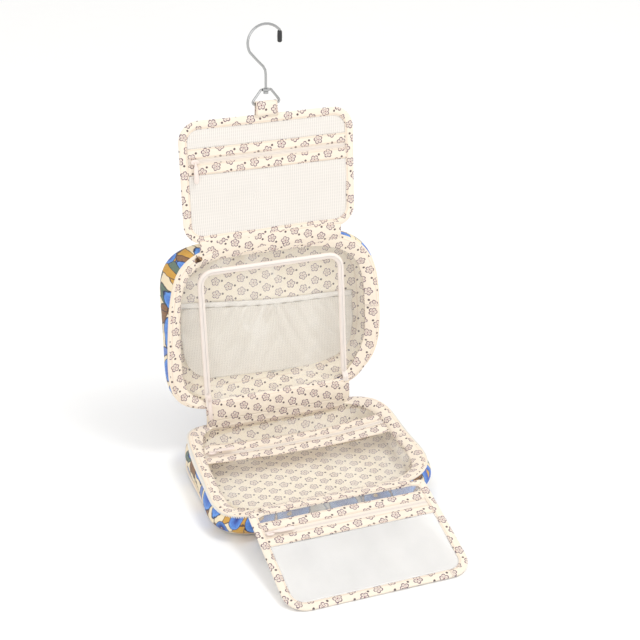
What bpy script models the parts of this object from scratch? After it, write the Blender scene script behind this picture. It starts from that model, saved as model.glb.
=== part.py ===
"""Hanging toiletry bag, hung open: a wire hook, a mesh top panel, an upper case with a zipped clear door,
and a lower case that lies open with a zipped clear flap at its front. Metres, +Z up, +X to the right of
someone who faces the open bag. The origin is the point inside the top of the hook that hangs on a rail."""

import math

import bmesh
import bpy
from mathutils import Matrix, Vector

MM = 0.001
GAP = 0.3 * MM                      # clearance kept where pieces touch

# Hook and triangular ring
WIRE = 1.5 * MM                     # wire radius
HOOK_RADIUS = 20.5 * MM             # centre line of the hook's round part
STEM_END = 74.5 * MM                # below the rail point
RING_TOP = 72.0 * MM
RING_BAR = 88.0 * MM
RING_HALF = 15.5 * MM
TAB_WIDTH = 25 * MM

# Flat panels, the top one and the flap: one size, folded into the bag when it is packed
PANEL_WIDTH = 207 * MM
PANEL_HEIGHT = 141.3 * MM
PANEL_THICK = 2.6 * MM
SHEET = 0.8 * MM                    # mesh, vinyl and strips inside a panel
BINDING = 9.5 * MM
PANEL_CORNER = 24 * MM
TAB_DROP = 11.5 * MM                # ring bar to the top edge of the panel
PANEL_LEAN = math.radians(5.8)

# The two half cases, alike
CASE_HALF_X = 131.5 * MM
CASE_HALF_Y = 98 * MM
CASE_POWER = 4.2                    # superellipse exponent of the rim
CASE_DEPTH = 33.4 * MM
CASE_LEAN = math.radians(7.27)
OUTER_CLOTH = 1.2 * MM
FOAM = 3.0 * MM
LINING = 0.8 * MM
FACING_WIDTH = 14 * MM
FACING_THICK = 1.2 * MM
COVER_TOP = -1.5 * MM
COVER_BOTTOM = COVER_TOP - SHEET
OUTLINE_POINTS = 40

# Fabric hinge between the cases
SPINE_WIDTH = 182 * MM
SPINE_TRIM = 16 * MM                # how much narrower the outer spine is than the gusset
STRIP_THICK = 1.0 * MM              # the gusset and the outer spine
SEAM_REACH = 1.2 * MM               # how far the gusset reaches past each case's seam line
HINGE_BAND_WIDTH = 176 * MM         # the cloth hinges of the two flat panels
HINGE_BAND_THICK = 1.2 * MM
FACING_CORNER = 40 * MM             # corner radius of the facing's inner edge
POCKET_INSET = 24 * MM              # from the rim's outline
POCKET_LOW = -73.5 * MM
POCKET_TOP = 14.5 * MM
ELASTIC_TOP = 20.5 * MM
# Heights of the bands of the top panel and of the flap, from the top down
PANEL_MESH_BAND = 21.5 * MM
PANEL_STRIP_UPPER = 10.7 * MM
PANEL_STRIP_LOWER = 12.2 * MM
PANEL_FOOT_BINDING = 5 * MM
FLAP_NARROW_BAND = 4.5 * MM
FLAP_STRIP_UPPER = 14 * MM
FLAP_ZIP_BAND = 9 * MM
FLAP_STRIP_LOWER = 12 * MM
FLAP_FOOT_BINDING = 12.5 * MM
FLAP_TOP = -3.5 * MM                # from the fold line
FLAP_TOP_CORNER = 6 * MM
GUSSET_LENGTH = 35.5 * MM
GUSSET_LEAN = math.radians(2.8)
SEAM_INSET = 8.5 * MM               # the gusset's seam to the edge of a rim
CLOSED_GAP = 9 * MM                 # between the rims when the bag is closed

# Door in the upper case's clear cover
DOOR_HALF = 86.5 * MM
DOOR_TOP = 67.5 * MM
DOOR_BOTTOM = -79 * MM
DOOR_CORNER = 15 * MM
DOOR_GAP = 0.6 * MM                 # round the door's edge
DOOR_ZIP_TOP = 0.6 * MM             # above the rim

# Printed strips and zip across the lower case's clear cover, from its middle towards the hinge
COVER_REAR_EDGE = 53.5 * MM
COVER_ZIP_REAR = 39.5 * MM
COVER_ZIP_FRONT = 31.8 * MM
COVER_FRONT_EDGE = 17.5 * MM

# Zips
ZIP_WIDTH = 6 * MM
SLIDER = (6 * MM, 9 * MM, 2.2 * MM)  # across, along, thick
PULL = (5.5 * MM, 24 * MM, 1.2 * MM)
PULL_LIFT = SLIDER[2] + 0.8 * MM    # a pull's middle above its slider's foot
PULL_HINGE = SLIDER[1] / 2 - 2 * MM  # from a slider's middle, along its zip
TOP_SLIDER_X = -86 * MM
COVER_SLIDER_X = -100 * MM
FLAP_SLIDER_X = -88 * MM
DOOR_SLIDER_Y = DOOR_BOTTOM - 6 * MM
CORNER_CENTRE = Vector((-82.9 * MM, 46.2 * MM, 0))  # the main zip runs round the case's corner about this
CORNER_REACH = 47.5 * MM
MAIN_SLIDER_AT = math.radians(106)  # from local +X
MAIN_PULL = (5 * MM, 1.2 * MM, 20 * MM)

CREAM = (0.93, 0.86, 0.74)
WHITE = (0.93, 0.91, 0.88)
PINK = (0.93, 0.83, 0.78)
CLEAR = (0.88, 0.88, 0.86)
BLUE = (0.24, 0.38, 0.66)
STEEL = (0.75, 0.76, 0.77)
BLACK = (0.05, 0.05, 0.05)
BRONZE = (0.16, 0.11, 0.09)


# ---------------------------------------------------------------- outlines

def superellipse(inset, power=CASE_POWER, count=OUTLINE_POINTS):
    """The case's rim outline, moved inwards by inset, anticlockwise from +X."""
    a, b = CASE_HALF_X - inset, CASE_HALF_Y - inset
    points = []
    for i in range(count):
        angle = 2 * math.pi * (i + 0.5) / count
        c, s = math.cos(angle), math.sin(angle)
        x = a * math.copysign(abs(c) ** (2 / power), c)
        y = b * math.copysign(abs(s) ** (2 / power), s)
        points.append((x, y))
    return points


def rim_height(x, inset):
    """Half height of the rim outline, moved inwards by inset, at x."""
    for (xa, ya), (xb, yb) in zip(superellipse(inset), superellipse(inset)[1:]):
        if xb <= x <= xa:
            return ya + (yb - ya) * (xa - x) / (xa - xb)


def rounded_rectangle(x0, x1, y0, y1, low_corner, high_corner, steps=5):
    """Anticlockwise from the lower right corner; a corner radius of 0 is a sharp corner."""
    points = []
    corners = ((x1, y0, low_corner, -90), (x1, y1, high_corner, 0),
               (x0, y1, high_corner, 90), (x0, y0, low_corner, 180))
    for x, y, radius, start in corners:
        cx = x - math.copysign(radius, x - (x0 + x1) / 2)
        cy = y - math.copysign(radius, y - (y0 + y1) / 2)
        for i in range(steps + 1 if radius else 1):
            angle = math.radians(start + 90 * i / steps)
            points.append((cx + radius * math.cos(angle), cy + radius * math.sin(angle)))
    return points


def rim_slice(inset, y0, y1):
    """The part of the rim outline, moved inwards by inset, between y0 and y1, anticlockwise."""
    points = superellipse(inset)
    kept = []
    for (xa, ya), (xb, yb) in zip(points, points[1:] + points[:1]):
        if y0 <= ya <= y1:
            kept.append((xa, ya))
        for level in sorted((y0, y1), reverse=yb < ya):
            if (ya - level) * (yb - level) < 0:
                share = (level - ya) / (yb - ya)
                kept.append((xa + (xb - xa) * share, level))
    return kept


def door_path(offset, bottom):
    """The door's outline, an upside-down U, moved outwards by offset, from lower left to lower right."""
    half, top, radius = DOOR_HALF + offset, DOOR_TOP + offset, DOOR_CORNER + offset
    points = [(-half, bottom)]
    for i in range(7):
        angle = math.radians(180 - 15 * i)
        points.append((-half + radius + radius * math.cos(angle), top - radius + radius * math.sin(angle)))
    return points + [(-x, y) for x, y in reversed(points)]


# ---------------------------------------------------------------- solids

def finish(name, bm, colour, parent, metallic=0.0, roughness=0.7, smooth=False):
    """Turn a bmesh into a named object with its own material, under the empty parent."""
    bmesh.ops.recalc_face_normals(bm, faces=bm.faces)
    mesh = bpy.data.meshes.new(name)
    bm.to_mesh(mesh)
    bm.free()
    material = bpy.data.materials.new(name)
    material.use_nodes = True
    shader = material.node_tree.nodes["Principled BSDF"]
    shader.inputs["Base Color"].default_value = (*colour, 1)
    shader.inputs["Metallic"].default_value = metallic
    shader.inputs["Roughness"].default_value = roughness
    mesh.materials.append(material)
    if smooth:
        mesh.shade_smooth()
        mesh.set_sharp_from_angle(angle=math.radians(40))
    piece = bpy.data.objects.new(name, mesh)
    bpy.context.scene.collection.objects.link(piece)
    piece.parent = parent
    return piece


def plate(name, outline, z0, z1, colour, parent, **look):
    """A flat sheet with the given outline between z0 and z1."""
    bm = bmesh.new()
    low = [bm.verts.new((x, y, z0)) for x, y in outline]
    high = [bm.verts.new((x, y, z1)) for x, y in outline]
    bm.faces.new(reversed(low))
    bm.faces.new(high)
    count = len(outline)
    for i in range(count):
        j = (i + 1) % count
        bm.faces.new((low[i], low[j], high[j], high[i]))
    return finish(name, bm, colour, parent, **look)


def frame_plate(name, outer, inner, z0, z1, colour, parent, **look):
    """A flat sheet with an opening; both outlines have the same number of points."""
    bm = bmesh.new()
    rings = [[bm.verts.new((x, y, z)) for x, y in outline]
             for outline, z in ((outer, z0), (outer, z1), (inner, z1), (inner, z0))]
    join_rings(bm, rings + rings[:1])
    return finish(name, bm, colour, parent, **look)


def join_rings(bm, rings):
    """Walls between each ring of vertices and the next."""
    for first, second in zip(rings, rings[1:]):
        count = len(first)
        for i in range(count):
            j = (i + 1) % count
            bm.faces.new((first[i], first[j], second[j], second[i]))


def path_band(name, inner, outer, z0, z1, colour, parent, **look):
    """An open band between two paths with the same number of points, with flat ends."""
    return plate(name, outer + list(reversed(inner)), z0, z1, colour, parent, **look)


def box(name, low, high, colour, parent, **look):
    (x0, y0, z0), (x1, y1, z1) = low, high
    return plate(name, [(x0, y0), (x1, y0), (x1, y1), (x0, y1)], z0, z1, colour, parent, **look)


def wall_profile(depth_in):
    """The case's wall from rim to base, moved depth_in into the bag: (inset from the rim outline, z)."""
    outside = [(0.0, 0.0), (-1.0 * MM, -6 * MM), (-0.6 * MM, -14 * MM), (2 * MM, -22 * MM),
               (6 * MM, -28.4 * MM), (12 * MM, -32.3 * MM), (20 * MM, -CASE_DEPTH)]
    moved = []
    for i, (inset, z) in enumerate(outside):
        before = outside[max(i - 1, 0)]
        after = outside[min(i + 1, len(outside) - 1)]
        along = Vector((after[0] - before[0], after[1] - before[1])).normalized()
        inwards = Vector((-along.y, along.x))
        if i == 0:
            inwards = Vector((1, 0))
        if i == len(outside) - 1:
            inwards = Vector((0, 1))
        moved.append((inset + inwards.x * depth_in, z + inwards.y * depth_in))
    return moved


def pan(name, outer_depth, inner_depth, top, colour, parent):
    """One layer of a case: an open pan between two depths into the bag, with its edge at height top."""
    bm = bmesh.new()

    def rings(depth):
        profile = wall_profile(depth)
        profile[0] = (profile[0][0], top)
        return [[bm.verts.new((x, y, z)) for x, y in superellipse(inset)] for inset, z in profile]

    outer, inner = rings(outer_depth), rings(inner_depth)
    join_rings(bm, list(reversed(outer)) + inner)
    bm.faces.new(reversed(outer[-1]))
    bm.faces.new(inner[-1])
    return finish(name, bm, colour, parent, smooth=True)


def tube(name, points, colour, parent, radii=None, cyclic=False, resolution=2, **look):
    """A round wire through the points."""
    curve = bpy.data.curves.new(name, "CURVE")
    curve.dimensions = "3D"
    curve.bevel_depth = WIRE
    curve.bevel_resolution = resolution
    curve.use_fill_caps = not cyclic
    spline = curve.splines.new("POLY")
    spline.points.add(len(points) - 1)
    for i, point in enumerate(points):
        spline.points[i].co = (*point, 1)
        spline.points[i].radius = radii[i] if radii else 1
    spline.use_cyclic_u = cyclic
    wire = bpy.data.objects.new(name, curve)
    bpy.context.scene.collection.objects.link(wire)
    mesh = bpy.data.meshes.new_from_object(wire.evaluated_get(bpy.context.evaluated_depsgraph_get()))
    bpy.data.objects.remove(wire)
    bm = bmesh.new()
    bm.from_mesh(mesh)
    bmesh.ops.remove_doubles(bm, verts=bm.verts, dist=0.00001)
    return finish(name, bm, colour, parent, smooth=True, **look)


def drum(name, profile, colour, parent, sides=12, **look):
    """A solid turned about Z from (radius, z) points, lowest first."""
    bm = bmesh.new()
    rings = [[bm.verts.new((radius * math.cos(2 * math.pi * i / sides),
                            radius * math.sin(2 * math.pi * i / sides), z)) for i in range(sides)]
             for radius, z in profile]
    join_rings(bm, rings)
    bm.faces.new(reversed(rings[0]))
    bm.faces.new(rings[-1])
    return finish(name, bm, colour, parent, smooth=True, **look)


def frame_at(name, location, turn_x, parent=None):
    """An empty that holds one moving body, on its joint's axis."""
    holder = bpy.data.objects.new(name, None)
    bpy.context.scene.collection.objects.link(holder)
    holder.location = location
    holder.rotation_euler = (turn_x, 0, 0)
    holder.parent = parent
    return holder


def hang_from(holder, point):
    """Move a holder onto its joint's axis and leave what it holds where it is."""
    shift = holder.rotation_euler.to_matrix().inverted() @ (holder.location - point)
    holder.location = point
    for child in holder.children:
        child.location += shift


# ---------------------------------------------------------------- places of the bodies

def place(turn_x, y, z):
    """A plane's frame: local +Y along the plane, local +Z out of its face."""
    return Matrix.Translation((0, y, z)) @ Matrix.Rotation(turn_x, 4, "X")


PANEL_TURN = math.pi / 2 - PANEL_LEAN
CASE_TURN = math.pi / 2 - CASE_LEAN
BAND_LENGTH = 3.2 * MM              # the panel's fabric hinge, below its bottom edge
PANEL_TOP = -TAB_DROP
PANEL_BOTTOM = PANEL_TOP - PANEL_HEIGHT
FOLD_LIFT = 1.2 * MM                # the fabric hinge's axis in front of the rim
PANEL_FRAME = place(PANEL_TURN, 0, -RING_BAR)
FOLD_AXIS = PANEL_FRAME @ Vector((0, PANEL_BOTTOM - BAND_LENGTH, 0))
RIM_TO_FOLD = CASE_HALF_Y + 2.7 * MM
UPPER_CENTRE = FOLD_AXIS - place(CASE_TURN, 0, 0) @ Vector((0, RIM_TO_FOLD, FOLD_LIFT))
UPPER_FRAME = place(CASE_TURN, UPPER_CENTRE.y, UPPER_CENTRE.z)

SEAM = CASE_HALF_Y - SEAM_INSET
UPPER_SEAM = UPPER_FRAME @ Vector((0, -SEAM, 0))
LOWER_SEAM = UPPER_SEAM - GUSSET_LENGTH * Vector((0, math.sin(GUSSET_LEAN), math.cos(GUSSET_LEAN)))
LOWER_CENTRE = LOWER_SEAM - Vector((0, SEAM, 0))
FLOOR = LOWER_CENTRE.z - CASE_DEPTH


def turning_point(start, end, angle):
    """The point in the YZ plane about which a turn by angle takes start to end."""
    middle = (start + end) / 2
    chord = end - start
    return middle + Vector((0, -chord.z, chord.y)) / (2 * math.tan(angle / 2))


# Closing turns the lower case until its rim faces the upper one.
CLOSED_CENTRE = UPPER_FRAME @ Vector((0, 0, CLOSED_GAP))
CASE_AXIS = turning_point(LOWER_CENTRE, CLOSED_CENTRE, CASE_TURN - math.pi)

FLAP_LIFT = 4.0 * MM                # the flap's fold line above the rim
FLAP_AXIS = LOWER_CENTRE + Vector((0, -CASE_HALF_Y - 1.0 * MM, FLAP_LIFT))
FLAP_DROP = FLAP_AXIS.z - FLOOR - PANEL_THICK / 2 - GAP
FLAP_SLOPE = math.asin(FLAP_DROP / PANEL_HEIGHT)


# ---------------------------------------------------------------- hook, ring, tab

def build_hook(holder):
    """The wire hook, its head under the ring's bush, and the soft tip."""
    centre_z = -(HOOK_RADIUS - WIRE)
    tip_x = 16.4 * MM
    arc = [(HOOK_RADIUS * math.cos(math.radians(a)), 0, centre_z + HOOK_RADIUS * math.sin(math.radians(a)))
           for a in range(46, 204, 11)]
    end = [(tip_x, 0, centre_z + 12.2 * MM), (tip_x, 0, centre_z + 12.8 * MM)]
    lower = [(-18.2 * MM, 0, centre_z - 9.5 * MM), (-10.5 * MM, 0, centre_z - 18.5 * MM),
             (-3.0 * MM, 0, centre_z - 26.5 * MM), (-0.6 * MM, 0, centre_z - 31 * MM),
             (0, 0, centre_z - 36 * MM), (0, 0, -(RING_TOP + 1.8 * MM)), (0, 0, -(RING_TOP + 2.0 * MM)),
             (0, 0, -STEM_END - 2 * MM)]
    points = end + arc + lower
    radii = [1] * (len(points) - 2) + [2, 2]
    tube("hook_wire", points, STEEL, holder, radii=radii, metallic=1.0, roughness=0.25)
    tip = drum("hook_tip", [(1.6 * MM, 0), (2.6 * MM, 1 * MM), (2.75 * MM, 6 * MM), (2.6 * MM, 12 * MM),
                            (2.0 * MM, 12.8 * MM)], BLACK, holder, roughness=0.5)
    tip.location = (tip_x, 0, centre_z - 1 * MM)


def build_ring(holder):
    """The triangular wire ring and the bush that turns on the hook's stem, with its origin on the stem."""
    bar = RING_TOP - RING_BAR
    bush_half = 4.6 * MM
    corner = 2.2 * MM
    points = [(bush_half + GAP, 0, 0), (bush_half + 0.9 * MM, 0, 0), (bush_half + 1.6 * MM, 0, -0.6 * MM),
              (RING_HALF - 0.4 * MM, 0, bar + 4.0 * MM), (RING_HALF, 0, bar + corner),
              (RING_HALF - 0.7 * MM, 0, bar + 0.6 * MM), (RING_HALF - corner, 0, bar)]
    points += [(-x, y, z) for x, y, z in reversed(points)]
    tube("hanger_ring", points, STEEL, holder, metallic=1.0, roughness=0.3)
    sides = 12
    bore = 1.65 * MM
    turns = [2 * math.pi * i / sides for i in range(sides)]
    outer = [(bush_half * math.cos(turn), bush_half * 0.75 * math.sin(turn)) for turn in turns]
    reach = bore / math.cos(math.pi / sides)
    inner = [(reach * math.cos(turn), reach * math.sin(turn)) for turn in turns]
    frame_plate("ring_bush", outer, inner, -1.3 * MM, 1.3 * MM, STEEL, holder, metallic=1.0, roughness=0.3)


def build_tab(holder):
    """The cloth tab round the ring's bar. Its section lies in the YZ plane and runs along X."""
    sides = 16
    clear = WIRE + 0.5 * MM
    reach = clear + 1.2 * MM
    foot = PANEL_TOP + GAP
    feet = 6                        # points of the section on its flat foot, either side of the middle
    inner, outer = [], []
    for i in range(sides):
        angle = math.radians(-90 + 360 * i / sides)
        y, z = math.sin(angle), math.cos(angle)
        inner.append((clear * y, clear * z))
        outer.append((reach * y, reach * z))
    for step in range(-feet // 2, feet // 2 + 1):
        outer[step] = (foot, step / (feet // 2) * PANEL_THICK / 2)
    bm = bmesh.new()
    rings = [[bm.verts.new((x, y, z)) for y, z in outline]
             for outline, x in ((outer, -TAB_WIDTH / 2), (outer, TAB_WIDTH / 2),
                                (inner, TAB_WIDTH / 2), (inner, -TAB_WIDTH / 2))]
    join_rings(bm, rings + rings[:1])
    finish("hanger_tab", bm, CREAM, holder)


# ---------------------------------------------------------------- flat panels

def build_panel(prefix, top, bottom, bar_top, bar_bottom, corners, zones, holder, front, back, back_name):
    """A bound panel: a fabric frame round a front made of bands, from top to bottom, and a back sheet.
    zones holds (node name, height, colour) for each band; the last one takes what is left."""
    half = PANEL_WIDTH / 2
    thick = PANEL_THICK / 2
    low_corner, high_corner = corners
    inner_low, inner_high = max(low_corner - BINDING, 2 * MM), max(high_corner - BINDING, 2 * MM)
    frame_plate(prefix + "_binding",
                rounded_rectangle(-half, half, bottom, top, low_corner, high_corner),
                rounded_rectangle(-half + BINDING, half - BINDING, bottom + bar_bottom, top - bar_top,
                                  inner_low, inner_high),
                -thick, thick, CREAM, holder)
    edge = half - BINDING - GAP
    y = top - bar_top - GAP
    floor_y = bottom + bar_bottom + GAP
    z0, z1 = front
    for i, (name, height, colour) in enumerate(zones):
        is_last = i == len(zones) - 1
        y_next = floor_y if is_last else y - height
        low, high = inner_low if is_last else 0, inner_high if i == 0 else 0
        outline = rounded_rectangle(-edge, edge, y_next, y, low, high)
        plate(name, outline, z0, z1, colour, holder)
        y = y_next - GAP
    plate(back_name, rounded_rectangle(-edge, edge, floor_y, top - bar_top - GAP, inner_low, inner_high),
          *back, CLEAR, holder)


def build_zip_slider(prefix, holder, pull_holder):
    """A zip slider, its origin under its middle, and its pull, whose holder is on the pull's hinge."""
    across, along, thick = SLIDER
    box(prefix + "_slider", (-along / 2, -across / 2, 0), (along / 2, across / 2, thick), PINK,
        holder, roughness=0.4)
    width, length, pull_thick = PULL
    box(prefix + "_pull", (GAP, -width / 2, -pull_thick / 2), (length, width / 2, pull_thick / 2), PINK,
        pull_holder, roughness=0.4)


# ---------------------------------------------------------------- half cases

def build_case(prefix, holder):
    """The layers of one half case, the printed facing round its rim and its half of the main zip."""
    layer = OUTER_CLOTH + GAP
    pan(prefix + "_case_shell", 0, OUTER_CLOTH, 0, BLUE, holder)
    pan(prefix + "_case_padding", layer, layer + FOAM, COVER_TOP, WHITE, holder)
    layer += FOAM + GAP
    pan(prefix + "_case_lining", layer, layer + LINING, COVER_TOP, CREAM, holder)
    half_x, half_y = CASE_HALF_X - FACING_WIDTH - 1.5 * MM, CASE_HALF_Y - FACING_WIDTH - 1.5 * MM
    quarter = OUTLINE_POINTS // 4
    inner = rounded_rectangle(-half_x, half_x, -half_y, half_y, FACING_CORNER, FACING_CORNER,
                              steps=quarter - 1)
    frame_plate(prefix + "_rim_facing", superellipse(OUTER_CLOTH + GAP), inner[quarter:] + inner[:quarter],
                -FACING_THICK, 0, CREAM, holder)


def main_zip(prefix, holder, hinge_side):
    """Half of the main zip: a band outside the rim, on the three sides away from the hinge."""
    inset_in, inset_out = -1.4 * MM, -2.6 * MM
    inner, outer = superellipse(inset_in), superellipse(inset_out)
    count = OUTLINE_POINTS
    first, last = -4, count // 2 + 3
    chosen = [k % count for k in range(first, last + 1)]
    side = -hinge_side
    path_band(prefix + "_main_zip", [(inner[k][0], side * inner[k][1]) for k in chosen],
              [(outer[k][0], side * outer[k][1]) for k in chosen], -5 * MM, 0, WHITE, holder)


def build_upper_case(holder):
    build_case("upper", holder)
    main_zip("upper", holder, -1)
    cover_inset = OUTER_CLOTH + FOAM + LINING + 4 * GAP
    leg = DOOR_HALF + DOOR_GAP
    foot = -rim_height(leg, cover_inset)
    outer = [p for p in superellipse(cover_inset) if abs(p[0]) > leg or p[1] > 0]
    outer.sort(key=lambda p: math.atan2(-p[0], -p[1]) % (2 * math.pi))
    inner = door_path(DOOR_GAP, foot)
    plate("upper_clear_cover", outer + list(reversed(inner)), COVER_BOTTOM, COVER_TOP, CLEAR, holder)
    zip_foot = DOOR_BOTTOM + 1 * MM
    inner = door_path(DOOR_GAP, zip_foot)
    outer = door_path(DOOR_GAP + ZIP_WIDTH / 2, zip_foot)
    path_band("door_zip_outer", inner, outer, COVER_TOP + GAP, DOOR_ZIP_TOP, PINK, holder)
    back_z = -CASE_DEPTH + cover_inset
    plate("mesh_pocket", rim_slice(POCKET_INSET, POCKET_LOW, POCKET_TOP),
          back_z + 1.0 * MM, back_z + 1.8 * MM, WHITE, holder)
    plate("pocket_elastic", rim_slice(POCKET_INSET, POCKET_TOP + GAP, ELASTIC_TOP),
          back_z + 0.6 * MM, back_z + 2.2 * MM, WHITE, holder)


def build_door(holder, origin_y):
    """The clear door and its half of the zip, from its bottom edge up."""
    def from_axis(points):
        return [(x, y - origin_y) for x, y in points]

    plate("clear_door", from_axis(door_path(0, DOOR_BOTTOM)), -SHEET / 2, SHEET / 2, CLEAR, holder)
    notch = DOOR_BOTTOM + 7 * MM
    inner, outer = door_path(-ZIP_WIDTH / 2, notch), door_path(0, notch)
    top = DOOR_ZIP_TOP - (COVER_TOP + COVER_BOTTOM) / 2
    path_band("door_zip_inner", from_axis(inner), from_axis(outer), SHEET / 2 + GAP, top, PINK, holder)


def build_lower_case(holder):
    build_case("lower", holder)
    main_zip("lower", holder, 1)
    inset = OUTER_CLOTH + FOAM + LINING + 4 * GAP
    edges = (COVER_REAR_EDGE, COVER_ZIP_REAR, COVER_ZIP_FRONT, COVER_FRONT_EDGE)
    far = CASE_HALF_Y
    cover_z = (COVER_BOTTOM, COVER_TOP)
    plate("lower_cover_rear", rim_slice(inset, edges[0] + GAP, far), *cover_z, CLEAR, holder)
    plate("lower_cover_front", rim_slice(inset, -far, edges[3] - GAP), *cover_z, CLEAR, holder)
    plate("lower_cover_strip_rear", rim_slice(inset, edges[1] + GAP, edges[0]), *cover_z, CREAM, holder)
    plate("lower_cover_strip_front", rim_slice(inset, edges[3], edges[2] - GAP), *cover_z, CREAM, holder)
    plate("lower_cover_zip", rim_slice(inset, edges[2], edges[1]), *cover_z, PINK, holder)


def strip_between(name, start, end, thick, width, colour, holder):
    """A flat strip of cloth along X whose middle plane runs from start to end in the YZ plane."""
    along = (end - start).normalized()
    across = Vector((0, -along.z, along.y)) * thick / 2
    section = [start - across, end - across, end + across, start + across]
    bm = bmesh.new()
    left = [bm.verts.new((-width / 2, p.y, p.z)) for p in section]
    right = [bm.verts.new((width / 2, p.y, p.z)) for p in section]
    join_rings(bm, [left, right])
    bm.faces.new(reversed(left))
    bm.faces.new(right)
    return finish(name, bm, colour, holder)


# ---------------------------------------------------------------- assembly

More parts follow.
